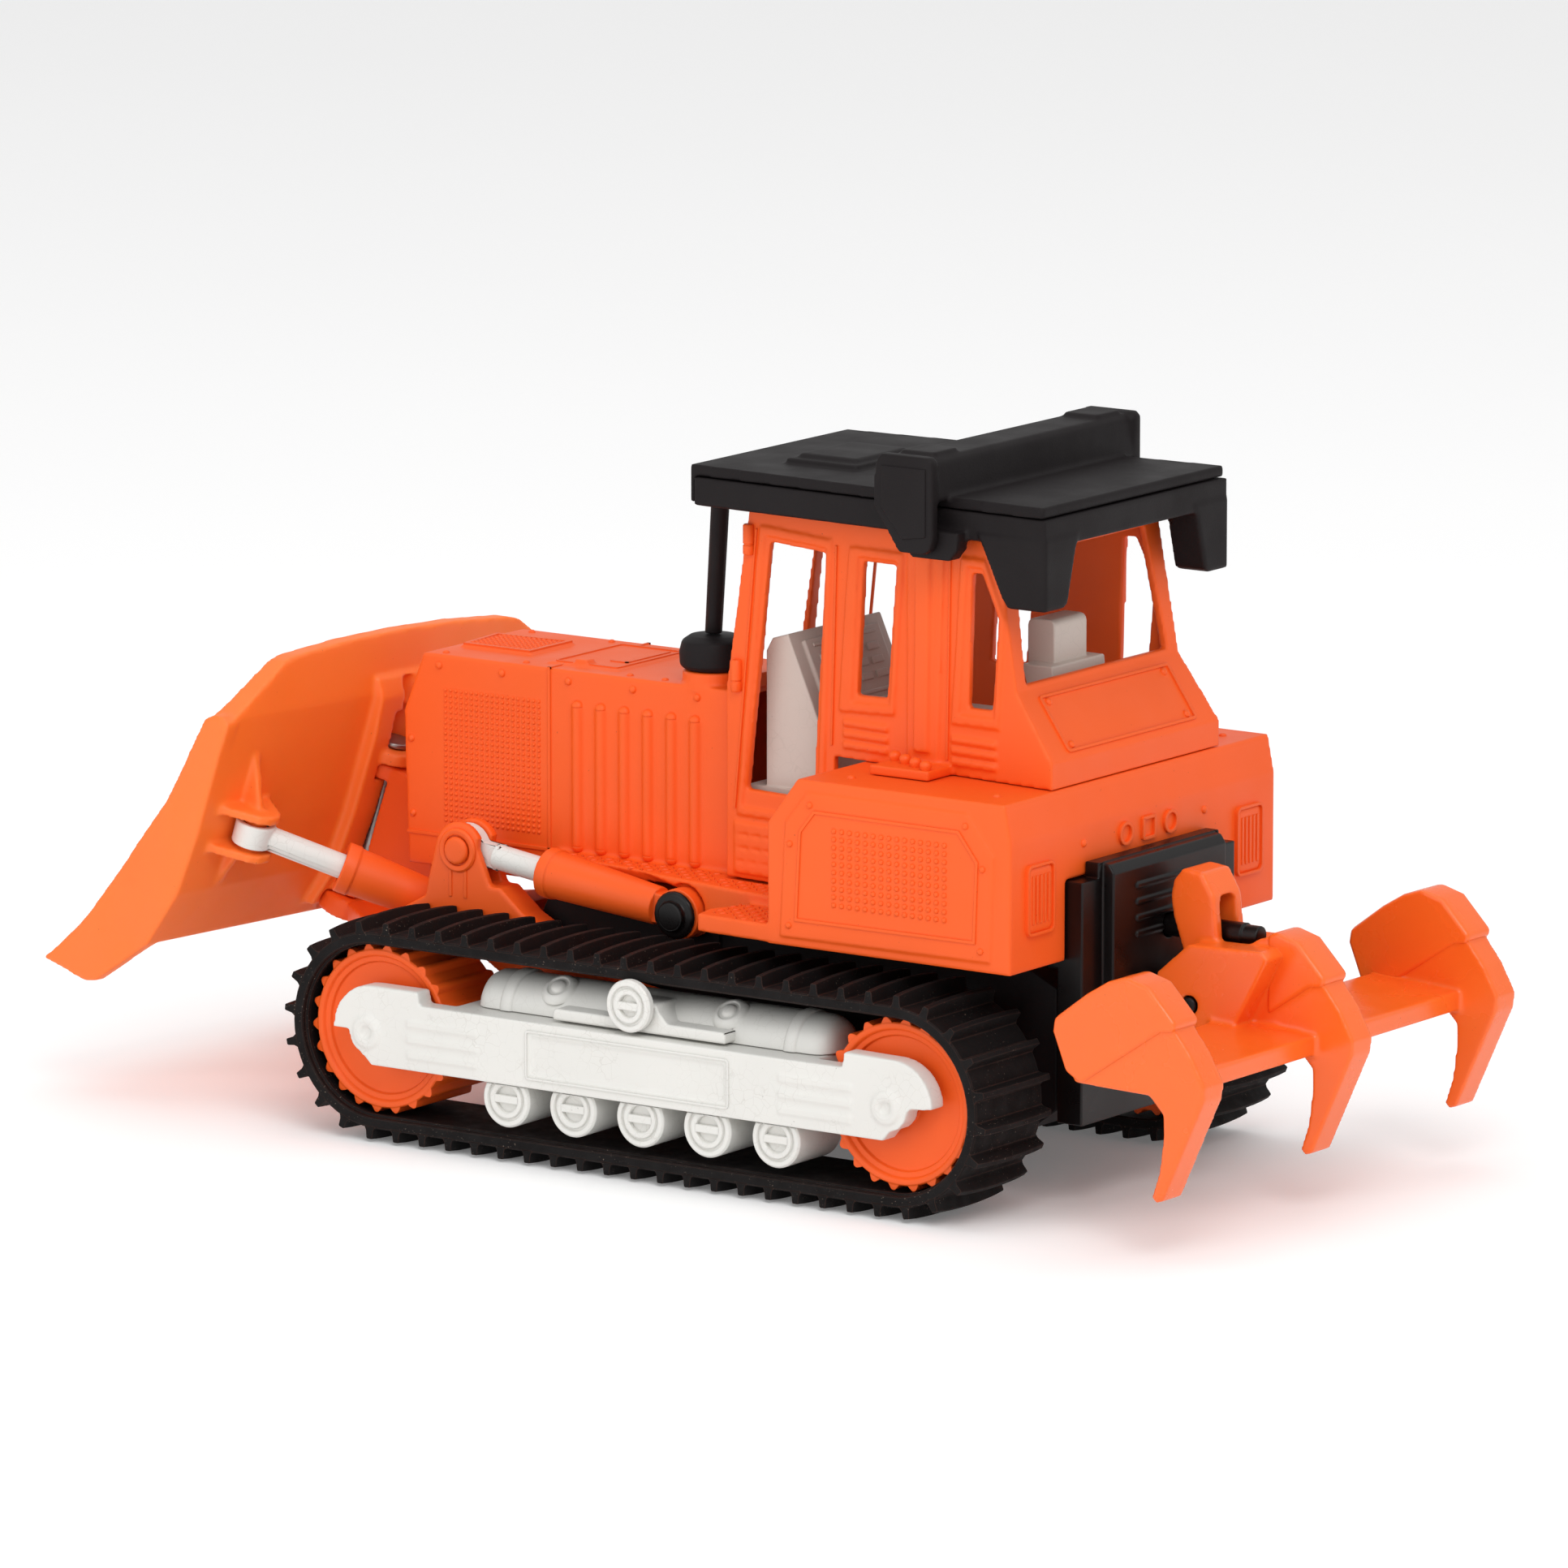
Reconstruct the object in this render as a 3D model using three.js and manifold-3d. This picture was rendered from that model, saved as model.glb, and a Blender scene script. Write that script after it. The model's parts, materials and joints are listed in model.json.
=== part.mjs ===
// Toy bulldozer. Millimetres. +X points to the blade, +Y to the left side, +Z up.
// Pieces are drawn from a point on the ground, on the centreline, halfway between the
// wheel axles. ORIGIN_X then moves the origin to the middle of the overall length.
import * as THREE from "three";
import { mergeVertices } from "three/addons/utils/BufferGeometryUtils.js";
import Module from "manifold-3d";

const wasm = await Module();
wasm.setup();

// ---------- driving dimensions ----------
const GAP = 0.3; // free space between neighbouring pieces
const ORIGIN_X = 8.313; // middle of the overall length, forward of the axle midpoint
const AXLE_X = 88; // wheel axles sit at plus and minus this
const AXLE_Z = 32;
const LUG_R = 32; // belt radius at the lug tips
const BELT_OUT_R = 28;
const BELT_IN_R = 24.9;
const BELT_IN_Y = 45.2;
const BELT_OUT_Y = 77.4;
const LUGS = 58;
const WHEEL_R = 22.8;
const TOOTH_R = 24.2;
const WHEEL_TEETH = 22;
const WHEEL_IN_Y = 47;
const WHEEL_OUT_Y = 73.4;
const FRAME_IN_Y = 73.8; // inner face of the white track frame's face plate
const FRAME_FACE_Y = 80; // outer face of the white track frame
const ROLLERS_X = [41.1, 18.3, -4.6, -27.3, -50.4];
const ROLLER_Z = 18.4;
const ROLLER_R = 8;
const CARRIER_X = -2;
const CARRIER_Z = 50.2;
const HOOD_Y = 23.9; // half width of the hood
const HOOD_TOP = 129.7;
const HOOD_RIBS_X = [55.7, 47.6, 39.5, 31.4, 23.3, 15.2];
const WALK_Z = 78;
const FENDER_Y = 65.8;
const DECK_Z = 116.7;
const CAB_SIDE_Y = 29.1; // cab side wall at x = 0
const CAB_FLARE = 0.108; // it widens this much per mm towards the rear
const CAB_TOP = 183.4;
const CAB_WALL = 2.4;
const ROOF_TOP = 195;
const LIFT_PIVOT = [4, 36]; // x, z of the C-frame hinge
const LIFT_Y = 40; // plane of the lift cylinders
const LIFT_REAR = [8.1, 68.7];
const LIFT_EAR = [82.4, 79];
const RAKE = 17 * (Math.PI / 180); // the blade swivel leans back
const SWIVEL_FOOT = [152, 0, 50];
const REST_SWIVEL = -3.5; // degrees, left end slightly forward
const POST = [139.2, 60, 78.8]; // blade post for the angle cylinder, before the rest swivel
const ANGLE_PIVOT = [98, 26.1, 57.2];
const RIPPER_PIVOT = [-143, 56];
const SHANK_Y = 74;

// ---------- solids ----------
function solid(geometry) {
  const bare = geometry.index ? geometry.toNonIndexed() : geometry.clone();
  bare.deleteAttribute("normal");
  bare.deleteAttribute("uv");
  const merged = mergeVertices(bare, 1e-4);
  return new wasm.Manifold(
    new wasm.Mesh({
      numProp: 3,
      vertProperties: merged.attributes.position.array,
      triVerts: new Uint32Array(merged.index.array),
    }),
  );
}

function geometryOf(body) {
  const mesh = body.getMesh();
  const geometry = new THREE.BufferGeometry();
  const step = mesh.numProp;
  const count = mesh.vertProperties.length / step;
  const positions = new Float32Array(count * 3);
  for (let i = 0; i < count; i += 1) {
    positions.set(mesh.vertProperties.subarray(i * step, i * step + 3), i * 3);
  }
  geometry.setAttribute("position", new THREE.BufferAttribute(positions, 3));
  geometry.setIndex(new THREE.BufferAttribute(new Uint32Array(mesh.triVerts), 1));
  return geometry;
}

function join(...parts) {
  const flat = parts.flat();
  return geometryOf(flat.slice(1).reduce((sum, one) => sum.add(solid(one)), solid(flat[0])));
}

function cut(base, ...tools) {
  return geometryOf(tools.flat().reduce((sum, one) => sum.subtract(solid(one)), solid(base)));
}

function common(a, b) {
  return geometryOf(solid(a).intersect(solid(b)));
}

function mirrored(geometry) {
  const flat = geometry.index ? geometry.toNonIndexed() : geometry.clone();
  flat.deleteAttribute("normal");
  flat.deleteAttribute("uv");
  const position = flat.attributes.position;
  for (let i = 0; i < position.count; i += 3) {
    const second = new THREE.Vector3().fromBufferAttribute(position, i + 1);
    const third = new THREE.Vector3().fromBufferAttribute(position, i + 2);
    position.setXYZ(i + 1, third.x, third.y, third.z);
    position.setXYZ(i + 2, second.x, second.y, second.z);
  }
  flat.scale(1, -1, 1);
  return flat;
}

const both = (geometry) => [geometry, mirrored(geometry)];

function box(x0, x1, y0, y1, z0, z1) {
  const geometry = new THREE.BoxGeometry(x1 - x0, y1 - y0, z1 - z0);
  return geometry.translate((x0 + x1) / 2, (y0 + y1) / 2, (z0 + z1) / 2);
}

function outlineShape(points, holes = []) {
  const shape = new THREE.Shape(points.map(([a, b]) => new THREE.Vector2(a, b)));
  holes.forEach((hole) => {
    shape.holes.push(new THREE.Path(hole.map(([a, b]) => new THREE.Vector2(a, b))));
  });
  return shape;
}

function extruded(points, depth, holes) {
  const options = { depth, bevelEnabled: false, steps: 1 };
  return new THREE.ExtrudeGeometry(outlineShape(points, holes), options);
}

// (x, z) outline, from y0 to y1
function plate(points, y0, y1, holes) {
  return extruded(points, y1 - y0, holes).rotateX(Math.PI / 2).translate(0, y1, 0);
}

// (x, y) outline, from z0 to z1
function slab(points, z0, z1, holes) {
  return extruded(points, z1 - z0, holes).translate(0, 0, z0);
}

// (y, z) outline, from x0 to x1
function slice(points, x0, x1, holes) {
  const geometry = extruded(points, x1 - x0, holes);
  geometry.rotateX(Math.PI / 2).rotateZ(Math.PI / 2);
  return geometry.translate(x0, 0, 0);
}

function rectangle(a0, a1, b0, b1, corner = 0, steps = 3) {
  if (corner === 0) {
    return [[a0, b0], [a1, b0], [a1, b1], [a0, b1]];
  }
  const centres = [
    [a1 - corner, b0 + corner, -90],
    [a1 - corner, b1 - corner, 0],
    [a0 + corner, b1 - corner, 90],
    [a0 + corner, b0 + corner, 180],
  ];
  return centres.flatMap(([a, b, start]) => arc(a, b, corner, start, start + 90, steps));
}

function arc(a, b, radius, start, end, steps) {
  return Array.from({ length: steps + 1 }, (_, i) => {
    const angle = THREE.MathUtils.degToRad(start + ((end - start) * i) / steps);
    return [a + radius * Math.cos(angle), b + radius * Math.sin(angle)];
  });
}

// cylinder or cone between two points
function rod(from, to, r0, r1 = r0, segments = 20) {
  const a = new THREE.Vector3(...from);
  const b = new THREE.Vector3(...to);
  const geometry = new THREE.CylinderGeometry(r1, r0, a.distanceTo(b), segments);
  const turn = new THREE.Quaternion().setFromUnitVectors(
    new THREE.Vector3(0, 1, 0),
    b.clone().sub(a).normalize(),
  );
  geometry.applyQuaternion(turn);
  const middle = a.add(b).multiplyScalar(0.5);
  return geometry.translate(middle.x, middle.y, middle.z);
}

const pinY = (x, z, y0, y1, r, segments) => rod([x, y0, z], [x, y1, z], r, r, segments);

// profile of [radius, height] points about the z axis, starting and ending on it
function turned(profile, segments = 24) {
  const points = profile.map(([r, z]) => new THREE.Vector2(r, z));
  return new THREE.LatheGeometry(points, segments).rotateX(Math.PI / 2);
}

// turned solid with its axis along y, growing outwards from y = start
const turnedY = (profile, x, z, start, segments) =>
  turned(profile, segments).rotateX(-Math.PI / 2).translate(x, start, z);

// moves a piece drawn along +x from the origin so it runs from one point to another
function aim(geometry, from, to) {
  const a = new THREE.Vector3(...from);
  const direction = new THREE.Vector3(...to).sub(a).normalize();
  const side = new THREE.Vector3(0, 0, 1).cross(direction).normalize();
  const up = direction.clone().cross(side);
  geometry.applyMatrix4(new THREE.Matrix4().makeBasis(direction, side, up));
  return geometry.translate(a.x, a.y, a.z);
}

// raised or sunk piece on the cab side wall: y is measured from the wall
function onCabWall(geometry) {
  const lean = new THREE.Matrix4().makeShear(0, 0, 0, 0, 0, 0);
  lean.elements[1] = -CAB_FLARE;
  return geometry.applyMatrix4(lean).translate(0, CAB_SIDE_Y, 0);
}

// the raked swivel frame of the blade
function onSwivel(geometry) {
  geometry.rotateY(-RAKE);
  return geometry.translate(...SWIVEL_FOOT);
}

function swivelled(geometry) {
  const axis = new THREE.Vector3(-Math.sin(RAKE), 0, Math.cos(RAKE));
  const turn = new THREE.Quaternion();
  turn.setFromAxisAngle(axis, THREE.MathUtils.degToRad(REST_SWIVEL));
  const [x, y, z] = SWIVEL_FOOT;
  return geometry.translate(-x, -y, -z).applyQuaternion(turn).translate(x, y, z);
}

function swivelledAxis() {
  return [-Math.sin(RAKE), 0, Math.cos(RAKE)];
}

function swivelledPoint(point) {
  const marker = new THREE.BufferGeometry();
  marker.setAttribute("position", new THREE.Float32BufferAttribute(point, 3));
  return Array.from(swivelled(marker).attributes.position.array);
}

// ---------- undercarriage ----------
function beltLoop(radius) {
  const turns = 14;
  const front = arc(AXLE_X, AXLE_Z, radius, -90, 90, turns);
  const rear = arc(-AXLE_X, AXLE_Z, radius, 90, 270, turns);
  return [...front, ...rear];
}

// point and outward normal at a distance along the belt
function alongBelt(distance, radius) {
  const run = 2 * AXLE_X;
  const bend = Math.PI * radius;
  if (distance < run) {
    return [-AXLE_X + distance, AXLE_Z - radius, 0, -1];
  }
  if (distance < run + bend) {
    const angle = -Math.PI / 2 + (distance - run) / radius;
    const [nx, nz] = [Math.cos(angle), Math.sin(angle)];
    return [AXLE_X + radius * nx, AXLE_Z + radius * nz, nx, nz];
  }
  if (distance < 2 * run + bend) {
    return [AXLE_X - (distance - run - bend), AXLE_Z + radius, 0, 1];
  }
  const angle = Math.PI / 2 + (distance - 2 * run - bend) / radius;
  const [nx, nz] = [Math.cos(angle), Math.sin(angle)];
  return [-AXLE_X + radius * nx, AXLE_Z + radius * nz, nx, nz];
}

function beltOutline() {
  const length = 4 * AXLE_X + 2 * Math.PI * BELT_OUT_R;
  const pitch = length / LUGS;
  const halfRoot = 1.15;
  const halfTip = 0.75;
  const points = [];
  for (let i = 0; i < LUGS; i += 1) {
    const middle = (i + 0.5) * pitch;
    const [x0, z0] = alongBelt(middle - halfRoot, BELT_OUT_R);
    const [x1, z1] = alongBelt(middle + halfRoot, BELT_OUT_R);
    const [x, z, nx, nz] = alongBelt(middle, BELT_OUT_R);
    const rise = LUG_R - BELT_OUT_R;
    points.push([x0, z0]);
    points.push([x + nx * rise + nz * halfTip, z + nz * rise - nx * halfTip]);
    points.push([x + nx * rise - nz * halfTip, z + nz * rise + nx * halfTip]);
    points.push([x1, z1]);
  }
  return points;
}

function belt() {
  return plate(beltOutline(), BELT_IN_Y, BELT_OUT_Y, [beltLoop(BELT_IN_R)]);
}

function wheel(x) {
  const points = [];
  for (let i = 0; i < WHEEL_TEETH; i += 1) {
    const step = 360 / WHEEL_TEETH;
    const start = i * step;
    points.push(...arc(x, AXLE_Z, WHEEL_R, start, start + step * 0.62, 1));
    points.push(...arc(x, AXLE_Z, TOOTH_R, start + step * 0.7, start + step * 0.92, 1));
  }
  const drum = plate(points, WHEEL_IN_Y, WHEEL_OUT_Y);
  const recess = pinY(x, AXLE_Z, WHEEL_OUT_Y - 1.2, WHEEL_OUT_Y + 2, 19.6, 24);
  const inside = pinY(x, AXLE_Z, WHEEL_IN_Y - 1, 66, 20.4, 24);
  const hub = pinY(x, AXLE_Z, WHEEL_IN_Y - 0.4, 70, 8, 12);
  const bore = pinY(x, AXLE_Z, 40, 80, 3.5, 12);
  return cut(join(cut(drum, recess, inside), hub), bore);
}

function axle(x) {
  return pinY(x, AXLE_Z, -WHEEL_OUT_Y, WHEEL_OUT_Y, 3, 20);
}

function trackFrameOutline() {
  return [
    [-87, 22.8],
    [86.9, 22.8],
    ...arc(88.2, 32, 6.4, -70, 0, 3),
    [94.6, 32.4],
    [99.9, 32.4],
    ...arc(87, 32.6, 12.9, 5, 92, 7),
    [70.6, 45.5],
    [70, 41.7],
    [-73.5, 41.7],
    [-74, 46],
    ...arc(-90.3, 32.8, 12.9, 92, 178, 7),
    [-95.8, 32.5],
    ...arc(-88.1, 32.2, 6.8, 185, 262, 3),
  ];
}

// the long face plate inside the belt's loop, with the deep beam behind its middle
function trackFrame() {
  const face = plate(trackFrameOutline(), FRAME_IN_Y, FRAME_FACE_Y);
  const beam = box(-61.5, 61.5, 60, 78.5, 22.8, 41.7);
  const hubs = [88.2, -88.1].map((x) => pinY(x, 32.1, 76.2, FRAME_FACE_Y + 0.9, 4.6, 20));
  const dimples = [88.2, -88.1].map((x) => pinY(x, 32.1, FRAME_FACE_Y - 0.2, 83, 2, 12));
  const panel = plate(rectangle(-34.3, 31.7, 26.9, 37.8), FRAME_FACE_Y - 0.7, 82);
  const ribs = [62, -64.5].flatMap((x) =>
    [27.4, 31.8, 36.2].map((z) =>
      box(x - 12, x + 12, FRAME_FACE_Y - 0.2, FRAME_FACE_Y + 0.5, z - 0.9, z + 0.9)),
  );
  return cut(join(face, beam, hubs, ribs), panel, dimples);
}

function tank() {
  const [r, z, y] = [10.8, 41.5, 62];
  const [front, rear] = [54.4, -60];
  const body = rod([front, y, z], [rear, y, z], r, r, 24);
  const dome = new THREE.SphereGeometry(r, 20, 10).scale(0.5, 1, 1);
  const ends = [front, rear].map((x) => dome.clone().translate(x, y, z));
  const fillers = [33, -25].map((x) => rod([x, y, z + r - 1], [x, y, z + r + 1.6], 5, 3.6, 18));
  const saddle = [
    [33, 42.4], [-36, 42.4], [-31, 47.5], [-12, 47.5], [-8, 51], [4, 51], [8, 47.5], [28, 47.5]];
  const beam = box(-80, 80, 50, 90, 20, 41.7 + GAP);
  return cut(join(body, ends, fillers, plate(saddle, 64, 76.9)), beam);
}

function roller(x, z, r, y0, y1) {
  const depth = y1 - y0;
  const body = turnedY(
    [[0, 0], [r - 0.5, 0], [r, depth - 2.6], [r, depth - 0.7], [r - 0.7, depth], [r - 2.2, depth],
      [r - 2.2, depth - 0.9], [0, depth - 0.9]], x, z, y0, 16);
  const bar = box(x - 4.6, x + 4.6, y1 - 1.2, y1 - 0.2, z - 1.1, z + 1.1);
  return join(body, bar);
}

function lowerRoller(x) {
  const under = box(-70, 70, 50, 78.8, 22.8 - GAP, 60);
  return cut(roller(x, ROLLER_Z, ROLLER_R, 58, 78.6), under);
}

function carrierRoller() {
  return roller(CARRIER_X, CARRIER_Z, 7.4, 77.7, 80.6);
}

function chassis() {
  const profile = [
    [-112, 26], [-104, 20], [62, 20], [70, 26], [70, 46], [60, 66], [-100, 66], [-112, 60]];
  const body = plate(profile, -32.5, 32.5);
  const frontSupport = box(68, 92.5, -30, 30, 25, 37);
  const liftTowers = both(box(0, 16, 31, 34.2, 40, 74));
  const trackArms = both(box(-61.5, -46, 31, 59.7, 26, 38));
  const bores = [
    pinY(AXLE_X, AXLE_Z, -90, 90, 3.4, 16),
    pinY(-AXLE_X, AXLE_Z, -90, 90, 3.4, 16),
    pinY(LIFT_PIVOT[0], LIFT_PIVOT[1], -40, 40, 3.4, 16),
    ...both(pinY(LIFT_REAR[0], LIFT_REAR[1], 28, 40, 2.9, 16)),
    box(-20, 40, -24, 24, 44, 80),
  ];
  return cut(join(body, frontSupport, liftTowers, trackArms), bores);
}

// ---------- body ----------
const HOOD_PROFILE = [[109.7, HOOD_TOP], [1.5, HOOD_TOP], [1.5, 68.6], [115.3, 68.6], [116.7, 112.4]];
const WALK_OUTLINE = [[62, 20], [62, 27], [59.7, 30.2], [3.6, 40.1], [-13, 43.2], [-42, 47], [-42, 20]];
const FENDER_PROFILE = [
  [-38.7, 69.8], [-38.7, 103.7], [-48.7, DECK_Z], [-116.9, DECK_Z], [-119, 106.2], [-119, 69.8]];
const SIDE_PANEL = [
  [-52.6, 113.3], [-45.3, 104.3], [-43.6, 72.6], [-112.7, 73], [-113.8, 101.8], [-105, 113]];

function hoodSolid() {
  const block = plate(HOOD_PROFILE, -HOOD_Y, HOOD_Y);
  const ribs = HOOD_RIBS_X.flatMap((x) =>
    both(rod([x, HOOD_Y - 0.1, 79.5], [x, HOOD_Y - 0.1, 120], 1.9, 1.9, 8)));
  const collar = rod([15, 15.5, 128], [15, 15.5, 133.4], 8.8, 8.6, 28);
  const pad = slab([[108, -8.6], [82, -10.5], [82, 10.5], [106, 10.5]], 129, 130.5);
  const hatch = slab(rectangle(46, 70.5, -17, 17.8), 129, 130.3);
  const latch = box(57.5, 62, 13, 17, 130, 131.6);
  const crown = join(block, ribs, collar, pad, hatch, latch);
  const under = HOOD_TOP - 2.5;
  const hollow = plate([[107, under], [-2, under], [-2, 60], [112.5, 60], [113.8, 112]], -21.4, 21.4);
  return cut(crown, hollow);
}

// space the left lift barrel sweeps through as it swings by some degrees
function barrelRoom(swing) {
  const rest = Math.atan2(LIFT_EAR[1] - LIFT_REAR[1], LIFT_EAR[0] - LIFT_REAR[0]);
  const angle = rest + THREE.MathUtils.degToRad(swing);
  const at = (reach) => [
    LIFT_REAR[0] + reach * Math.cos(angle), LIFT_Y, LIFT_REAR[1] + reach * Math.sin(angle)];
  return rod(at(4), at(60), 6.4, 8.6, 10);
}

function walkway() {
  const upper = slab(WALK_OUTLINE, 75.5, WALK_Z);
  const apron = slab([
    [62, 24], [62, 27], [59.7, 30.2], [3.6, 40.1], [-13, 43.2], [-42, 47], [-42, 44],
    [-13, 40.4], [3.6, 37.4], [58, 27.5], [58, 24]], 68.6, 76);
  const clearance = [
    pinY(LIFT_REAR[0], LIFT_REAR[1], 36.6, 60, 8.2, 28),
    ...[-9, -2, 5].map(barrelRoom),
  ];
  const boss = pinY(LIFT_REAR[0], LIFT_REAR[1], 35, 36.6, 7.4, 24);
  const boreY = pinY(LIFT_REAR[0], LIFT_REAR[1], 30, 50, 3, 16);
  const step = slab([[-12.4, 56], [-14, 64.2], [-38.9, 65.7], [-38.9, 40], [-20, 40]], 70, 75);
  return cut(join(upper, apron, step, boss), clearance, boreY);
}

function fenderSolid() {
  const block = plate(FENDER_PROFILE, -FENDER_Y, FENDER_Y);
  const inner = [
    [-41.2, 60], [-41.2, 102.8], [-50, 114.2], [-115, 114.2], [-116.5, 105.4], [-116.5, 60]];
  const hollow = plate(inner, -63.3, 63.3);
  const panels = both(plate(SIDE_PANEL, FENDER_Y - 0.2, FENDER_Y + 0.8));
  const louvre = slice(rectangle(46.4, 57.6, 80.5, 98, 1.6), -119.8, -118.6);
  const slots = [49.2, 52, 54.8].map((y) =>
    slice(rectangle(y - 0.7, y + 0.7, 83, 95.5), -120.5, -119.2));
  const grille = cut(louvre, slots);
  const cabHole = slab([[-38, -28], [-38, 28], [-113, 38.6], [-113, -38.6]], 110, 120);
  return cut(join(block, panels, both(grille)), hollow, cabHole);
}

function bodyShell() {
  const shell = join(hoodSolid(), both(walkway()), fenderSolid());
  const rearPanelSeat = box(-125, -112, -38.6, 38.6, 60, 92);
  return cut(shell, cabRoom(), rearPanelSeat);
}

// the cab's lower front part needs this much room between hood and fender
function cabRoom() {
  const underCab = box(-42.5, 3, -33.6, 33.6, 77.5, 140);
  const [frontY, rearY] = [29.4 + GAP, 34.4 + GAP];
  const plan = slab([[2, frontY], [2, -frontY], [-46, -rearY], [-46, rearY]], 70, 145);
  return common(underCab, plan);
}

// ---------- cab ----------
const CAB_PROFILE = [
  [1.2, WALK_Z + GAP], [1.2, 131], [-7.4, CAB_TOP], [-96.5, CAB_TOP], [-103.6, 142.4],
  [-116.2, 124.3], [-116.2, DECK_Z + GAP], [-38.3, DECK_Z + GAP], [-38.3, WALK_Z + GAP]];
const LEFT_DOOR = [[-15, 174.3], [-35.2, 173.4], [-31, 108], [-31, 103.8], [-6.4, 103.8]];
const RIGHT_DOOR = [
  [-11.5, 174.3], [-35.2, 173.4], [-31, 108], [-31, 103.8], [-4, 103.8], [-3.6, 123], [-5.6, 158]];
const MIDDLE_WINDOW = [[-48.8, 172.6], [-60.7, 172.8], [-57.4, 135.5], [-46.6, 135]];
const REAR_SIDE_WINDOW = [
  [-87.8, 173.8], [-91.4, 173.8], [-97.2, 161.8], [-95, 136.5], [-86.6, 136.2]];
const WINDSCREEN_PANES = [[-24.5, -9], [-5, 24.5]]; // y ranges, either side of a bar

function cabPlan(inset) {
  const wall = (x) => CAB_SIDE_Y - CAB_FLARE * x - inset;
  const [front, rear] = [3 - inset, -117 + inset];
  return [[front, wall(front)], [rear, wall(rear)], [rear, -wall(rear)], [front, -wall(front)]];
}

function cabOuter() {
  return common(plate(CAB_PROFILE, -50, 50), slab(cabPlan(0).reverse(), 70, 190));
}

function cabInner() {
  const profile = [
    [-1.3, 60], [-1.3, 130.5], [-9.6, 200], [-91.6, 200], [-101.1, 141.9], [-113.7, 123.6],
    [-113.7, 100], [-35.9, 100], [-35.9, 60]];
  return common(plate(profile, -50, 50), slab(cabPlan(CAB_WALL).reverse(), 50, 210));
}

function cabSideDetails() {
  const rings = [
    onCabWall(plate(
      [[-11.8, 178.5], [-37.5, 177.2], [-34.4, 96.5], [-3.2, 96.5]], -0.4, 0.8,
      [[[-13.4, 176.2], [-36, 175.2], [-32.6, 98.5], [-4.9, 98.5]]])),
    onCabWall(plate(
      [[-44.3, 176.1], [-63.6, 176.4], [-60.2, 131.2], [-40.5, 130.2]], -0.4, 0.9,
      [[[-47.2, 174], [-61.9, 174.2], [-58.8, 133.4], [-45, 132.8]]])),
    onCabWall(plate(
      [[-84.4, 177.7], [-92.6, 177.7], [-99.6, 162], [-97.5, 131.7], [-81, 131.4]], -0.4, 0.9,
      [[[-86.2, 175.6], [-92, 175.6], [-98.2, 161.8], [-96.2, 134.2], [-83.6, 134]]])),
  ];
  const column = onCabWall(plate(
    [[-65.3, 177.5], [-78.2, 177.5], [-76.4, 119.5], [-65.3, 119.5]], -0.4, 1.1));
  const ridge = onCabWall(plate(
    [[-69, 177], [-74.2, 177], [-73.4, 122.5], [-68.4, 122.5]], -0.4, 2.4));
  const louvres = [[-42, -57.8], [-81, -96.4]].flatMap(([x0, x1]) =>
    [127, 123.9, 120.8].map((z) => onCabWall(plate(rectangle(x1, x0, z - 0.8, z + 0.8), -0.4, 0.9))));
  const stepRibs = [92.8, 89, 85.2, 81.4].map((z) =>
    onCabWall(plate(rectangle(-36, -2.2, z - 1.4, z + 1.4), -0.4, 1)));
  return [...rings, column, ridge, ...louvres, ...stepRibs];
}

function cabOpenings() {
  const doors = [plate(LEFT_DOOR, 0, 60), plate(RIGHT_DOOR, -60, 0)];
  const windows = [MIDDLE_WINDOW, REAR_SIDE_WINDOW].map((outline) => plate(outline, -60, 60));
  const windscreen = WINDSCREEN_PANES.map(([y0, y1]) => slice(rectangle(y0, y1, 134, 178), -14, 6));
  const rearWindow = slice([[-35, 143.8], [35, 143.8], [32, 178], [-32, 178]], -106, -90);
  return [...doors, ...windows, ...windscreen, rearWindow];
}

function cabShell() {
  const pedestal = box(-81, -61.5, 36, 49.6, DECK_Z + GAP, 119.6);
  const details = cabSideDetails();
  const solidCab = join(cabOuter(), details, details.map(mirrored), both(pedestal));
  const frontPass = box(-4, 4, -HOOD_Y - GAP, HOOD_Y + GAP, 60, HOOD_TOP + GAP);
  return cut(solidCab, cabInner(), cabOpenings(), frontPass);
}

function driverConsole() {
  const profile = [
    [-9, 104], [-9, 142.5], [-11, 146], [-16.3, 147.6], [-35.6, 104]];
  const column = plate(profile, -21, 24);
  const floor = box(-34.5, -3, -25, 25, 101, 104.2);
  const screen = plate([[-16.9, 144.8], [-18.5, 145.5], [-29.4, 121.1], [-27.8, 120.4]], -17, 19);
  return join(column, floor, screen);
}

function seat() {
  const base = box(-98, -64, -17, 17, 117.1, 128);
  const back = plate(
    [[-100, 117.1], [-88.5, 117.1], [-88.5, 140], [-87, 145], [-97, 145]], -13, 13);
  const headrest = plate(rectangle(-94.5, -85.5, 143, 157, 2), -8, 8);
  const arms = both(box(-94, -70, 16.5, 21.5, 124, 133));
  return join(base, back, headrest, arms);
}

// ---------- roof ----------
function roofPlan(front, rear, frontY, rearY) {
  return [[front, -frontY], [front, frontY], [rear, rearY], [rear, -rearY]];
}

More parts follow.
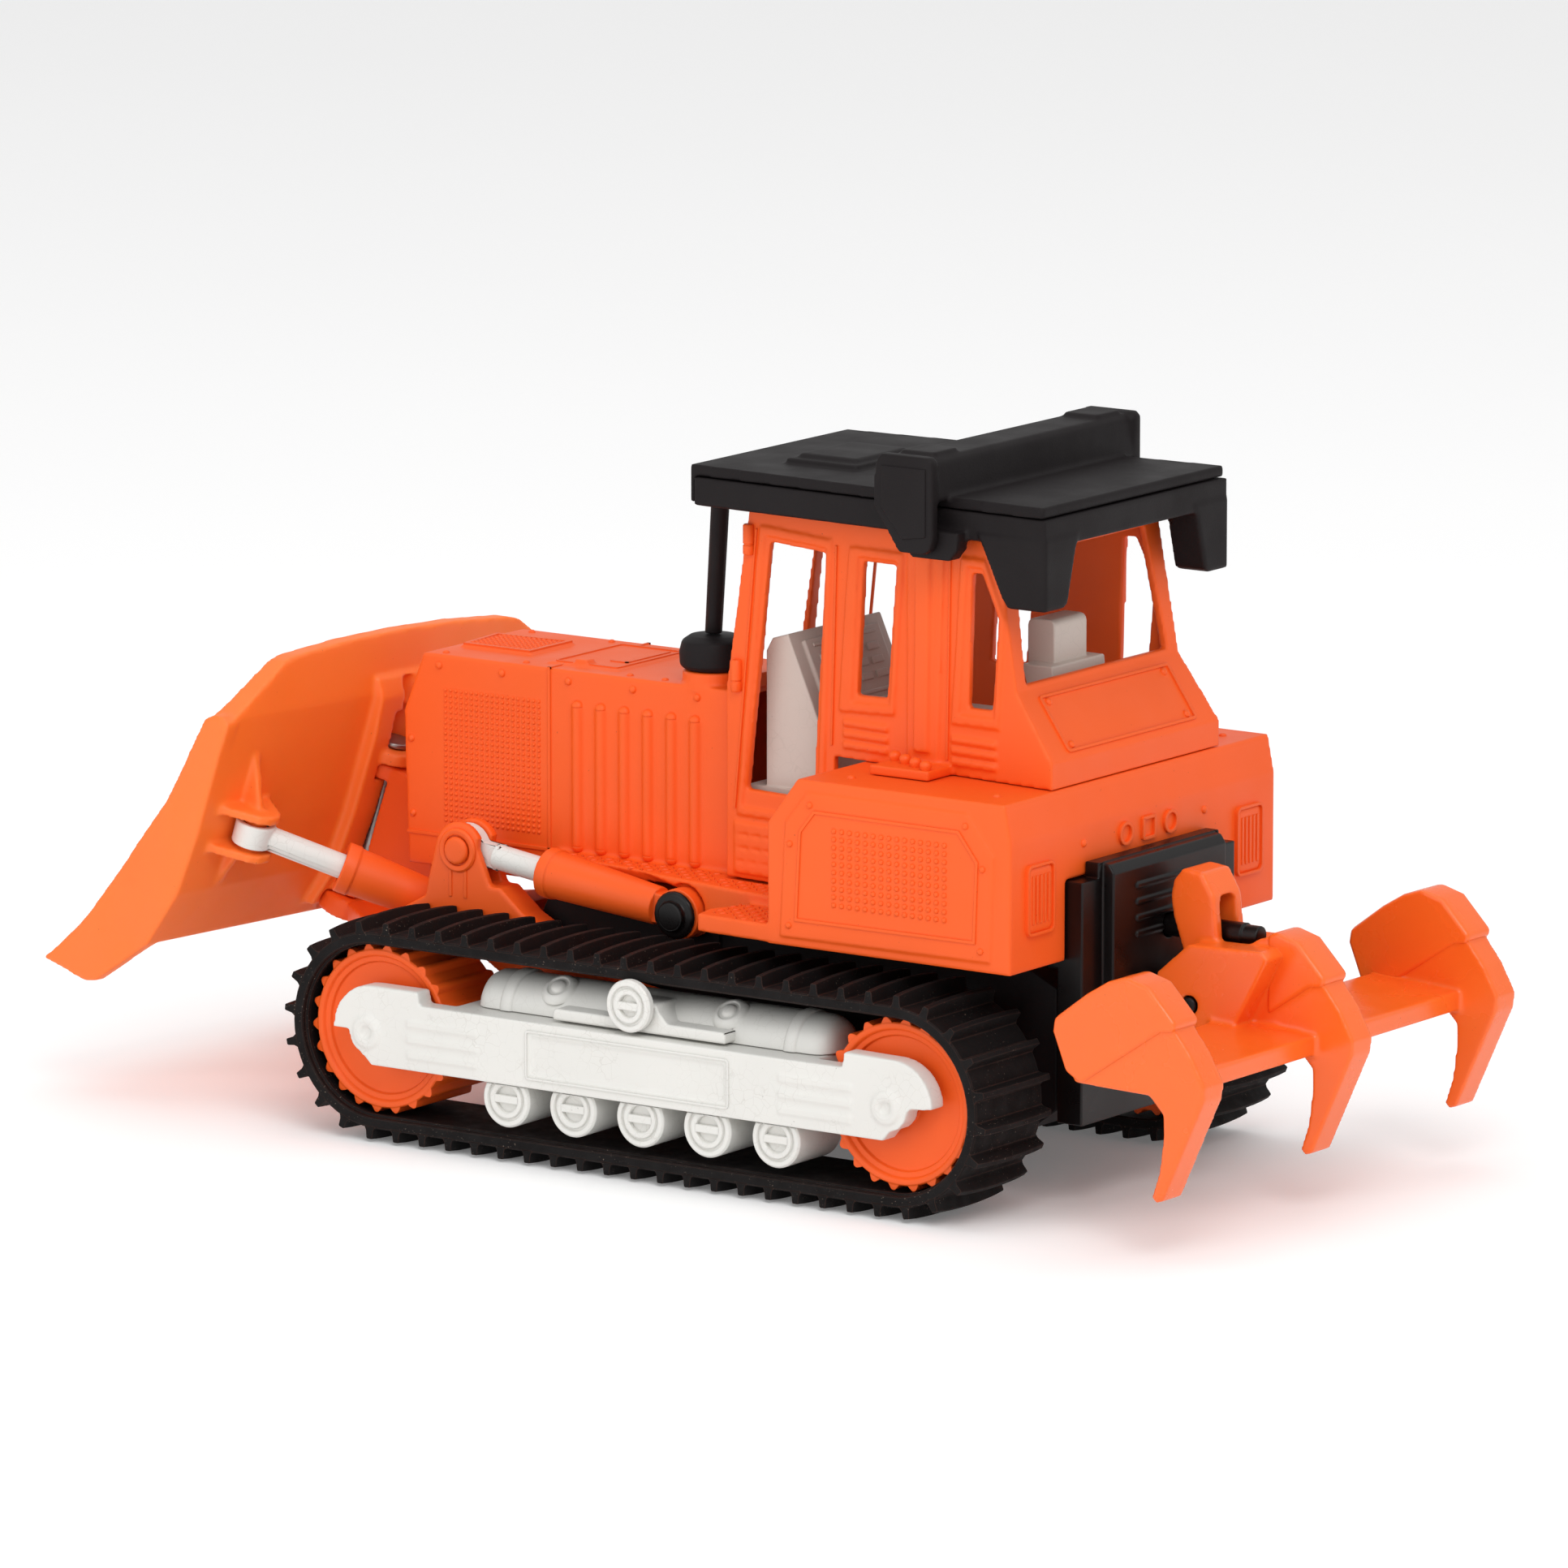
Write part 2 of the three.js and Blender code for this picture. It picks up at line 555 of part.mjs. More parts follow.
function roofPlate() {
  const upper = slab(roofPlan(6.6, -115.2, 38, 45).reverse(), 191.9, ROOF_TOP);
  const cross = plate(
    [[-65, 194], [-66.6, 204.6], [-68, 206], [-80.5, 206], [-82, 204.6], [-83.4, 194]], -48.4, 48.4);
  const drops = both(plate(
    [[-64, 192], [-64.4, 204], [-66.6, 206.6], [-82, 206.6], [-83.4, 205.2], [-83.4, 184],
      [-82.4, 181], [-80.6, 179.8], [-72.4, 179.8]], 48.2, 51.6));
  const pads = both(slab(rectangle(-80, -69, 34, 46, 1), 205, 207.2));
  const hatchPad = slab(rectangle(-38, -14, -9.5, 22, 1), 194, 196.6);
  const hatchTop = slab(rectangle(-36, -16.5, -6.5, 19, 1), 196, 197.8);
  const lip = box(5.4, 7, -38, 38, 184.4, 194.6);
  return join(upper, lip, cross, drops, pads, hatchPad, hatchTop);
}

function roofFrame() {
  const band = slab(roofPlan(5, -116, 39, 45.2).reverse(), CAB_TOP + GAP, 191.6);
  const pocket = slab(roofPlan(-3, -107, 34, 40).reverse(), 180, 188.8);
  const lobe = plate(
    [[-66, 186], [-89.5, 186], [-89, 181], [-86.6, 178.2], [-74, 178.2], [-71.5, 181]], 42.6, 48);
  const side = plate(
    [[-94, 186], [-116.4, 186], [-116.4, 166.4], [-103.9, 166.4], [-102, 169]], 42.8, 45.4);
  const rear = slice(
    [[29, 186], [34, 167.5], [36, 166.4], [45.4, 166.4], [45.4, 186]], -116.4, -106);
  const corner = join(side, rear);
  return cut(join(band, both(lobe), both(corner)), pocket);
}

function exhaustCap() {
  const profile = [
    [0, 133.7], [8.2, 133.7], [9.4, 134.9], [9.6, 138.5], [8.8, 141.6], [6.6, 143.1], [0, 143.4]];
  return turned(profile, 32).translate(15, 15.5, 0);
}

function exhaustStrut() {
  const bar = rod([15.6, 14.8, 141], [4, 27.4, CAB_TOP + 2], 2.4, 2.6, 16);
  return cut(bar, box(0, 30, 0, 40, 130, 143.7), box(-10, 30, 0, 40, CAB_TOP, 200));
}

// ---------- rear ----------
function rearPanel() {
  const base = box(-124, -112.4, -38, 38, 24, 91.6);
  const inner = plate([[-121.4, 96], [-126, 95.4], [-127.6, 93], [-127.6, 34], [-121.4, 34]], -28, 28);
  const top = box(-124, -119.4, -30, 30, 88, 96);
  const ribs = [88, 83.5, 79, 74.5].map((z) => box(-128.3, -127, -17, 17, z - 0.8, z + 0.8));
  const pivotLugs = both(plate(
    [[-125, 47], [-125, 58], ...arc(RIPPER_PIVOT[0], RIPPER_PIVOT[1], 5, 80, 280, 8)], 8, 12));
  const pegBore = rod([-135, 0, 74.6], [-110, 0, 74.6], 3.6, 3.6, 20);
  const pinBore = pinY(RIPPER_PIVOT[0], RIPPER_PIVOT[1], -30, 30, 2.6, 16);
  const axleRoom = box(-116, -110, -40, 40, 20, 67);
  return cut(join(base, inner, top, ribs, pivotLugs), pegBore, pinBore, axleRoom);
}

function peg() {
  const z = 74.6;
  return join(
    rod([-157.5, 0, z], [-152, 0, z], 2.8, 2.8, 20),
    rod([-152.5, 0, z], [-120, 0, z], 3.2, 3.2, 20),
  );
}

function shank() {
  const outline = [
    [-142.8, 60], [-145.6, 52.5], [-149, 46.4], [-172.9, 45.6], [-177.2, 41], [-177.5, 35.4],
    [-176.2, 25], [-173.8, 17.8], [-175.2, 16.6], [-177.2, 17.2], [-190.2, 46], [-190.4, 50],
    [-186, 58], [-180.4, 65], [-172, 74.2], [-166, 76], [-160, 74], [-153.5, 70], [-143.2, 62.6]];
  const cap = [
    [-142.4, 60], [-146.6, 49.5], [-151.5, 46.8], [-176.6, 63.8], [-180.6, 64.2], [-181.2, 66.2],
    [-172.6, 75.2], [-166, 77], [-160, 75], [-153.3, 70.9], [-142.8, 63.2]];
  return join(plate(outline, -5, 5), plate(cap, -5.4, 5.4));
}

function ripper() {
  const shanks = [SHANK_Y, 0, -SHANK_Y].map((y) => shank().translate(0, y, 0));
  const bridge = plate([[-150, 47], [-150, 52.4], [-178.5, 50.2], [-178.5, 44.8]], -SHANK_Y, SHANK_Y);
  const loop = plate(
    [[-137.5, 66], [-133, 78.8], [-132.2, 84], [-133, 88.5], [-136, 92.2], [-142.5, 91.5],
      [-146.4, 85], [-147.8, 72], [-148.5, 66]], -7, 7);
  const body = plate(
    [[-134, 50], [-132.2, 55], [-132.4, 64], [-142.5, 72.8], [-166.6, 73.4], [-168.4, 71.4],
      [-157, 50]], -14, 14);
  const pivotRoom = pinY(RIPPER_PIVOT[0], RIPPER_PIVOT[1], -30, 30, 2.7, 16);
  const lugRoom = both(join(
    pinY(RIPPER_PIVOT[0], RIPPER_PIVOT[1], 7.6, 12.4, 6, 16), box(-146, -130, 7.6, 12.4, 46, 62)));
  const window = slice(rectangle(-3.8, 3.8, 67.5, 85, 2.2), -170, -120);
  const keep = cut(join(shanks, bridge, loop, body), box(-136, -120, -15, 15, 30, 61));
  return cut(keep, pivotRoom, lugRoom, window);
}

// ---------- lift linkage ----------
function armOutline() {
  return [
    ...arc(LIFT_PIVOT[0], LIFT_PIVOT[1], 7, 100, 270, 8),
    [30, 32], [62, 42], [80, 52.5], [100, 52.5], [103, 54], [103, 60], [92, 66], [80, 69.6], [68, 69.6],
    [60, 63], [30, 47]];
}

// the pin each angle barrel turns on leans back and inwards
function anglePinAxis(side) {
  return side > 0 ? [-0.2828, -0.2462, 0.9271] : [-0.2446, 0.291, 0.9249];
}

function anglePin(side) {
  const [x, y, z] = ANGLE_PIVOT;
  const axis = anglePinAxis(side);
  const at = (height) => [x + axis[0] * height, side * y + axis[1] * height, z + axis[2] * height];
  return rod(at(-9), at(4), 2.5, 2.5, 16);
}

// space around one angle cylinder, turned sideways by some degrees
function angleRoom(swing) {
  const [x, y, z] = ANGLE_PIVOT;
  const heading = Math.atan2(POST[1] - y, POST[0] - x) + THREE.MathUtils.degToRad(swing);
  const run = Math.hypot(POST[0] - x, POST[1] - y);
  const at = (reach) => [
    x + reach * Math.cos(heading), y + reach * Math.sin(heading), z + (reach * (POST[2] - z)) / run];
  return rod(at(-7), at(40), 7.4, 8.8, 10);
}

const TOWER = [[146, 49], [143.5, 67], [135.5, 90.4], [132.6, 90.2], [128, 88.8], [125, 85.5], [118, 50]];

function cFrame() {
  const arms = both(plate(armOutline(), 34.9, 44.7));
  const ear = [
    [70, 66], [76, 80], ...arc(LIFT_EAR[0], LIFT_EAR[1], 8, 150, 20, 7), [93, 70], [95, 60]].reverse();
  const ears = both(join(plate(ear, 42.1, 44.7), plate(ear, 34.9, 37.9)));
  const nosePlan = [[94, -44.7], [106, -44.7], [147, -11], [147, 11], [106, 44.7], [94, 44.7]].reverse();
  const nosePlate = slab(nosePlan, 45, 51);
  const riser = box(94, 104, -44.7, 44.7, 45, 55);
  const noseDisc = onSwivel(rod([0, 0, -3.6], [0, 0, 2.4], 10.6, 10.6, 20));
  const tower = plate(TOWER, -5.5, 5.5);
  const towerHead = onSwivel(rod([0, 0, 39.6], [0, 0, 44.2], 6.8, 6.8, 16));
  const frame = join(arms, ears, riser, nosePlate, noseDisc, tower, towerHead);
  const bores = [
    onSwivel(rod([0, 0, -8], [0, 0, 60], 2.7, 2.7, 16)),
    pinY(LIFT_PIVOT[0], LIFT_PIVOT[1], -60, 60, 3.4, 16),
    ...both(pinY(LIFT_EAR[0], LIFT_EAR[1], 30, 50, 2.7, 16)),
    ...both(join([-7, 7].map(angleRoom))),
  ];
  const stubs = [1, -1].map(anglePin);
  return join(cut(frame, bores), stubs);
}

function swivelPin() {
  const profile = [
    [0, -5.2], [4.4, -5.2], [4.4, -3.9], [2.3, -3.9], [2.3, 48.9], [4.6, 48.9], [4.6, 50.4],
    [0, 50.9]];
  return onSwivel(turned(profile, 16));
}

function liftPin(side) {
  const profile = [
    [0, 0], [2.4, 0], [2.4, 12.2], [6.8, 12.2], [6.8, 12.9], [6.1, 13.6], [4.4, 13.6], [4.4, 14.6],
    [3.8, 15.2], [0, 15.2]];
  const pin = turnedY(profile, LIFT_REAR[0], LIFT_REAR[1], 31.4, 20);
  return side > 0 ? pin : mirrored(pin);
}

function earPin(side) {
  const profile = [[0, 0], [2.3, 0], [2.3, 11.4], [4, 11.4], [4, 12.4], [3.2, 12.9], [0, 12.9]];
  const pin = turnedY(profile, LIFT_EAR[0], LIFT_EAR[1], 33.6, 20);
  return side > 0 ? pin : mirrored(pin);
}

function framePin() {
  return pinY(LIFT_PIVOT[0], LIFT_PIVOT[1], -45, 45, 3, 20);
}

function liftBarrel(side) {
  const shell = join(
    rod([8, 0, 0], [44, 0, 0], 5.4, 6.8, 18),
    rod([43.4, 0, 0], [46.9, 0, 0], 7.2, 7.2, 18),
    box(0, 10, -3, 3, -4.2, 4.2),
    pinY(0, 0, -3, 3, 7.2, 28),
  );
  const hollow = cut(shell, pinY(0, 0, -20, 20, 2.9, 16), rod([12.5, 0, 0], [50, 0, 0], 4.5, 4.5, 20));
  return aim(hollow, [LIFT_REAR[0], side * LIFT_Y, LIFT_REAR[1]], [LIFT_EAR[0], side * LIFT_Y, LIFT_EAR[1]]);
}

function liftRod(side) {
  const shell = join(
    rod([10.4, 0, 0], [46, 0, 0], 3.6, 3.6, 20),
    box(0, 12, -1.8, 1.8, -3.3, 3.3),
    pinY(0, 0, -1.8, 1.8, 7, 24),
  );
  const drilled = cut(shell, pinY(0, 0, -20, 20, 2.8, 16));
  return aim(drilled, [LIFT_EAR[0], side * LIFT_Y, LIFT_EAR[1]], [LIFT_REAR[0], side * LIFT_Y, LIFT_REAR[1]]);
}

function postAt(side) {
  return swivelledPoint([POST[0], side * POST[1], POST[2]]);
}

function alongPin(point, pinPoint, halfHeight, r, segments) {
  const up = new THREE.Vector3(...pinPoint).normalize().multiplyScalar(halfHeight);
  const centre = new THREE.Vector3(...point);
  return rod(centre.clone().sub(up).toArray(), centre.clone().add(up).toArray(), r, r, segments);
}

function angleBarrel(side) {
  const from = [ANGLE_PIVOT[0], side * ANGLE_PIVOT[1], ANGLE_PIVOT[2]];
  const pinAxis = anglePinAxis(side);
  const tube = join(
    rod([8, 0, 0], [30.6, 0, 0], 6, 7, 18),
    rod([30.2, 0, 0], [34, 0, 0], 7.4, 7.4, 18),
    box(0, 10, -3.6, 3.6, -2.7, 2.7),
  );
  const bore = rod([9.8, 0, 0], [40, 0, 0], 4.6, 4.6, 16);
  const shell = join(aim(tube, from, postAt(side)), alongPin(from, pinAxis, 2.8, 5.4, 20));
  return cut(shell, aim(bore, from, postAt(side)), alongPin(from, pinAxis, 9, 3, 16));
}

function angleRod(side) {
  const post = postAt(side);
  const pivot = [ANGLE_PIVOT[0], side * ANGLE_PIVOT[1], ANGLE_PIVOT[2]];
  const postAxis = swivelledAxis();
  const stick = aim(rod([3.6, 0, 0], [36, 0, 0], 3.6, 3.6, 16), post, pivot);
  const eye = alongPin(post, postAxis, 3.4, 5.8, 20);
  const bore = alongPin(post, postAxis, 9, 3.9, 14);
  return cut(join(stick, eye), bore);
}

// ---------- blade ----------
const BLADE_PROFILE = [
  [134.4, 131], [134.6, 113], [137.8, 102.8], [145.8, 79], [153.1, 61.5], [164.3, 45.8], [184, 40.6],
  [203, 36.6], [203.2, 38], [185, 47.5], [173, 56.5], [163.5, 68.5], [154, 86], [146.6, 103],
  [142.4, 116], [140.6, 131]];
const END_PROFILE = [
  [134.3, 112], [137.8, 102.8], [145.8, 79], [153.1, 61.5], [164.3, 45.8], [184, 32.9], [188, 32.3],
  [203.2, 37.1], [187.1, 51.4], [173.8, 67.5], [157.3, 88.2], [142.9, 113.1], [139.6, 114.5],
  [136.8, 114.2]];
// left half of the blade seen from the front, up from the bottom corner to the crowned top
const BLADE_HALF = [
  [77, 30], [77, 112.4], [74, 113.2], [51.5, 127.4], [47, 128.4], [24, 130], [0, 130.5]];

function moldboard() {
  const sheet = plate(BLADE_PROFILE, -77, 77);
  const rightHalf = BLADE_HALF.slice(0, -1).reverse().map(([y, z]) => [-y, z]);
  return common(sheet, slice([...BLADE_HALF, ...rightHalf], 100, 230));
}

function postBracket() {
  const ears = [[4.8, 7.4], [-7.2, -4.6]].map(([w0, w1]) => {
    const outline = [[2, -12], ...arc(-6, 0, 6.4, 250, 110, 6), [2, 12], [7.5, 12], [7.5, -12]].reverse();
    return slab(outline, w0, w1);
  });
  const post = rod([-6, 0, -7], [-6, 0, 7], 3.2, 3.2, 20);
  return join(ears, post);
}

function blade() {
  const ends = both(plate(END_PROFILE, 72.6, 77.2));
  const column = plate(
    [[133, 118], [131.6, 112], [134.4, 100], [142.4, 77], [149.6, 60], [158, 49], [163, 50],
      [150, 84], [140, 118]], -13, 13);
  const [px, , pz] = POST;
  const brackets = both(postBracket().rotateY(-RAKE).translate(px + 5.8, POST[1], pz + 1.6));
  const gussets = both(join(
    plate([[136.2, 86.6], [150, 90], [141, 112], [139, 112]], 58.8, 61.2),
    plate([[143.5, 73], [156, 73], [164, 54], [158, 56]], 58.8, 61.2),
  ));
  const lug = (reach, halfWidth) =>
    [[reach, -halfWidth], ...arc(0, 0, 8.5, 270, 90, 7), [reach, halfWidth]].reverse();
  const upperLug = onSwivel(slab(lug(11, 13), 44.8, 48.6));
  const lowerLug = onSwivel(slab(lug(12, 12), 2.9, 6.7));
  const bore = onSwivel(rod([0, 0, 1], [0, 0, 70], 2.7, 2.7, 16));
  const rooms = [
    onSwivel(rod([0, 0, 39], [0, 0, 44.6], 7.6, 7.6, 16)),
    onSwivel(rod([0, 0, -7], [0, 0, 2.8], 11.4, 11.4, 20)),
    onSwivel(rod([0, 0, 48.6], [0, 0, 60], 5.6, 5.6, 16)),
    plate(TOWER, -7.5, 7.5).translate(1.4, 0, 0),
  ];
  const shape = join(moldboard(), ends, brackets, gussets, column, upperLug, lowerLug);
  return swivelled(cut(shape, rooms, bore));
}

// ---------- small screws and clips ----------
function bellyScrew(x, y) {
  return turned([[0, 17.2], [3, 17.2], [3.4, 18], [3.4, 19.7], [0, 19.7]], 16).translate(x, y, 0);
}

// ---------- assembly ----------
const ORANGE = { color: 0xf4602c, roughness: 0.45 };
const BLADE_ORANGE = { color: 0xf77a2a, roughness: 0.45 };
const RIPPER_ORANGE = { color: 0xf9793f, roughness: 0.38 };
const WHITE = { color: 0xeeeeec, roughness: 0.4 };
const GREY = { color: 0xcfc5bd, roughness: 0.5 };
const BLACK = { color: 0x272224, roughness: 0.55 };
const GLOSS_BLACK = { color: 0x1c1819, roughness: 0.3 };
const RUBBER = { color: 0x231c1c, roughness: 0.85 };
const STEEL = { color: 0xa8a8a8, roughness: 0.35, metalness: 0.9 };

const bulldozer = new THREE.Group();

function add(name, geometry, look) {
  const mesh = new THREE.Mesh(geometry, new THREE.MeshStandardMaterial(look));
  mesh.name = name;
  mesh.position.x = -ORIGIN_X;
  bulldozer.add(mesh);
}

function addPair(name, geometry, look) {
  add(`${name}_left`, geometry, look);
  add(`${name}_right`, mirrored(geometry), look);
}

add("chassis", chassis(), BLACK);
add("body_shell", bodyShell(), ORANGE);
add("cab_shell", cabShell(), ORANGE);
add("roof_plate", roofPlate(), BLACK);
add("roof_frame", roofFrame(), BLACK);
add("exhaust_cap", exhaustCap(), BLACK);
add("exhaust_strut", exhaustStrut(), BLACK);
add("cab_console", driverConsole(), GREY);
add("driver_seat", seat(), GREY);
add("rear_panel", rearPanel(), GLOSS_BLACK);
add("ripper_peg", peg(), GLOSS_BLACK);
add("ripper", ripper(), RIPPER_ORANGE);
add("ripper_pin", pinY(RIPPER_PIVOT[0], RIPPER_PIVOT[1], -14.4, 14.4, 2.3, 16), GLOSS_BLACK);
add("c_frame", cFrame(), ORANGE);
add("c_frame_pin", framePin(), STEEL);
add("blade", blade(), BLADE_ORANGE);
add("swivel_pin", swivelled(swivelPin()), STEEL);
addPair("belt", belt(), RUBBER);
addPair("wheel_front", wheel(AXLE_X), ORANGE);
addPair("wheel_rear", wheel(-AXLE_X), ORANGE);
add("axle_front", axle(AXLE_X), STEEL);
add("axle_rear", axle(-AXLE_X), STEEL);
addPair("track_frame", trackFrame(), WHITE);
addPair("tank", tank(), WHITE);
addPair("carrier_roller", carrierRoller(), WHITE);
ROLLERS_X.forEach((x, i) => addPair(`roller_${i + 1}`, lowerRoller(x), WHITE));
[["left", 1], ["right", -1]].forEach(([name, side]) => {
  add(`lift_barrel_${name}`, liftBarrel(side), ORANGE);
  add(`lift_rod_${name}`, liftRod(side), WHITE);
  add(`lift_pin_${name}`, liftPin(side), GLOSS_BLACK);
  add(`ear_pin_${name}`, earPin(side), ORANGE);
  add(`angle_barrel_${name}`, angleBarrel(side), ORANGE);
  add(`angle_rod_${name}`, angleRod(side), WHITE);
});
[[-95, 24], [-95, -24], [50, 24], [50, -24]].forEach(([x, y], i) => {
  add(`belly_screw_${i + 1}`, bellyScrew(x, y), STEEL);
});

export default bulldozer;
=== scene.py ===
"""Toy bulldozer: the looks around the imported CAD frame.

Pieces are drawn in millimetres from a point on the ground, on the centreline, halfway
between the wheel axles: +X to the blade, +Y to the left side, +Z up.
"""

import json
import math

import bmesh
import bpy
from mathutils import Matrix, Vector

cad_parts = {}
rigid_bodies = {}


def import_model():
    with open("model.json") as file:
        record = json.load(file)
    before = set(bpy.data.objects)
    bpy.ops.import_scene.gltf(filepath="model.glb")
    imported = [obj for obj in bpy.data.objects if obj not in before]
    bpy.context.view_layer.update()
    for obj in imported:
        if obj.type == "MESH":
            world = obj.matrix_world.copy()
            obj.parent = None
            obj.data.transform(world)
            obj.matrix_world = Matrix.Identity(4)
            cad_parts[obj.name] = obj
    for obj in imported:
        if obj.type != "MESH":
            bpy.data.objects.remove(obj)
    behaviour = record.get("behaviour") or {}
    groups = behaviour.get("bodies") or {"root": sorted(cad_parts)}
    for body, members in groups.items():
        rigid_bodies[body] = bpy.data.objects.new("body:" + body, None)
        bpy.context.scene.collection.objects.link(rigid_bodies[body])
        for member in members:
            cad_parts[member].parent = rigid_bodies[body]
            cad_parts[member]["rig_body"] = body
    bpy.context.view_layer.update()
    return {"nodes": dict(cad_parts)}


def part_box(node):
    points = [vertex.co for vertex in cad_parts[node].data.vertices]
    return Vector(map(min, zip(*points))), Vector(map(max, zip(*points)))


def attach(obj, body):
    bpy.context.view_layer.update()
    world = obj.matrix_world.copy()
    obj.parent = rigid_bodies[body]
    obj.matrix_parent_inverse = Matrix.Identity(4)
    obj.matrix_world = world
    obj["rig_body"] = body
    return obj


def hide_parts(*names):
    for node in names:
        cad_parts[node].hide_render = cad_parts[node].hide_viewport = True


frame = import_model()

MM = 0.001
SIDES = (("left", 1), ("right", -1))


def middle_x(node):
    low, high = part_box(node)
    return (low.x + high.x) / 2


AXLE_MIDDLE = (middle_x("axle_front") + middle_x("axle_rear")) / 2
TO_ROW = Matrix.Translation((AXLE_MIDDLE, 0, 0)) @ Matrix.Scale(MM, 4)

# ---------- driving dimensions, shared with the CAD ----------
AXLE_X = 88
AXLE_Z = 32
BELT_OUT_R = 28
BELT_IN_R = 24.9
BELT_Y = (45.2, 77.4)
LUG_HEIGHT = 4
LUGS = 58
WHEEL_Y = (47, 73.4)
WHEEL_TEETH = 22
ROLLERS_X = (41.1, 18.3, -4.6, -27.3, -50.4)
ROLLER_Z = 18.4
ROLLER_CUT_Z = 22.4
ROLLER_FACE_Y = 78.6
TOP_ROLLER = (-2, 50.2)
TOP_ROLLER_FACE_Y = 80.6
FRAME_TOP = 42
FRAME_FACE_Y = 80
CAP_LEAN = math.radians(38)
HOOD_Y = 23.9
HOOD_TOP = 129.7
HOOD_RIBS_X = (55.7, 47.6, 39.5, 31.4, 23.3, 15.2)
WALK_TOP = 78
STEP_TOP = 75
FENDER_PANEL_Y = 66.6
REAR_FACE_X = -119
LIFT_EAR = (82.4, 79)
LIFT_REAR = (8.1, 68.7)
SHANK_Y = 74
RIPPER_CAP_HALF = 6.1


def cab_wall(x):
    return 29.1 - 0.108 * x


# ---------- materials ----------
def linear(red, green, blue):
    def one(value):
        value /= 255
        return value / 12.92 if value <= 0.04045 else ((value + 0.055) / 1.055) ** 2.4
    return (one(red), one(green), one(blue), 1.0)


class Look:
    """A material being wired: each method adds nodes and hands back a socket."""

    def __init__(self, name):
        self.material = bpy.data.materials.new(name)
        self.material.use_nodes = True
        self.tree = self.material.node_tree
        self.shader = self.tree.nodes["Principled BSDF"]
        self.place = self.node("ShaderNodeTexCoord").outputs["Object"]

    def node(self, kind, **settings):
        made = self.tree.nodes.new(kind)
        for key, value in settings.items():
            setattr(made, key, value)
        return made

    def link(self, source, target):
        if hasattr(source, "links"):
            self.tree.links.new(source, target)
        else:
            target.default_value = source

    def noise(self, size_mm, detail=2.0, roughness=0.5):
        made = self.node("ShaderNodeTexNoise")
        made.inputs["Scale"].default_value = 1 / (size_mm * MM)
        made.inputs["Detail"].default_value = detail
        made.inputs["Roughness"].default_value = roughness
        self.link(self.place, made.inputs["Vector"])
        return made.outputs["Fac"]

    def cells(self, size_mm, feature="F1", wobble_mm=0.0):
        made = self.node("ShaderNodeTexVoronoi", feature=feature)
        made.inputs["Scale"].default_value = 1 / (size_mm * MM)
        place = self.place
        if wobble_mm:
            shift = self.node("ShaderNodeVectorMath", operation="MULTIPLY_ADD")
            cloud = self.node("ShaderNodeTexNoise")
            cloud.inputs["Scale"].default_value = 1 / (size_mm * MM)
            self.link(self.place, cloud.inputs["Vector"])
            self.link(cloud.outputs["Color"], shift.inputs[0])
            shift.inputs[1].default_value = (wobble_mm * MM,) * 3
            self.link(self.place, shift.inputs[2])
            place = shift.outputs[0]
        self.link(place, made.inputs["Vector"])
        return made.outputs["Distance"]

    def between(self, value, low, high, to_low=0.0, to_high=1.0):
        made = self.node("ShaderNodeMapRange")
        made.inputs["From Min"].default_value = low
        made.inputs["From Max"].default_value = high
        made.inputs["To Min"].default_value = to_low
        made.inputs["To Max"].default_value = to_high
        self.link(value, made.inputs["Value"])
        return made.outputs["Result"]

    def times(self, a, b):
        made = self.node("ShaderNodeMath", operation="MULTIPLY")
        self.link(a, made.inputs[0])
        self.link(b, made.inputs[1])
        return made.outputs[0]

    def mix(self, amount, first, second):
        made = self.node("ShaderNodeMix", data_type="RGBA")
        self.link(amount, made.inputs["Factor"])
        self.link(first, made.inputs["A"])
        self.link(second, made.inputs["B"])
        return made.outputs["Result"]

    def edges(self, radius_mm):
        """0 on flat faces, rising on outer and inner corners, and the rounded normal."""
        bevel = self.node("ShaderNodeBevel", samples=4)
        bevel.inputs["Radius"].default_value = radius_mm * MM
        flat = self.node("ShaderNodeNewGeometry").outputs["Normal"]
        dot = self.node("ShaderNodeVectorMath", operation="DOT_PRODUCT")
        self.link(bevel.outputs["Normal"], dot.inputs[0])
        self.link(flat, dot.inputs[1])
        return self.between(dot.outputs["Value"], 1.0, 0.75), bevel.outputs["Normal"]

    def bump(self, height, strength, depth_mm, normal=None):
        made = self.node("ShaderNodeBump")
        made.inputs["Strength"].default_value = strength
        made.inputs["Distance"].default_value = depth_mm * MM
        self.link(height, made.inputs["Height"])
        if normal is not None:
            self.link(normal, made.inputs["Normal"])
        return made.outputs["Normal"]


def scaled(colour, factor):
    return tuple(min(1.0, c * factor) for c in colour[:3]) + (1.0,)


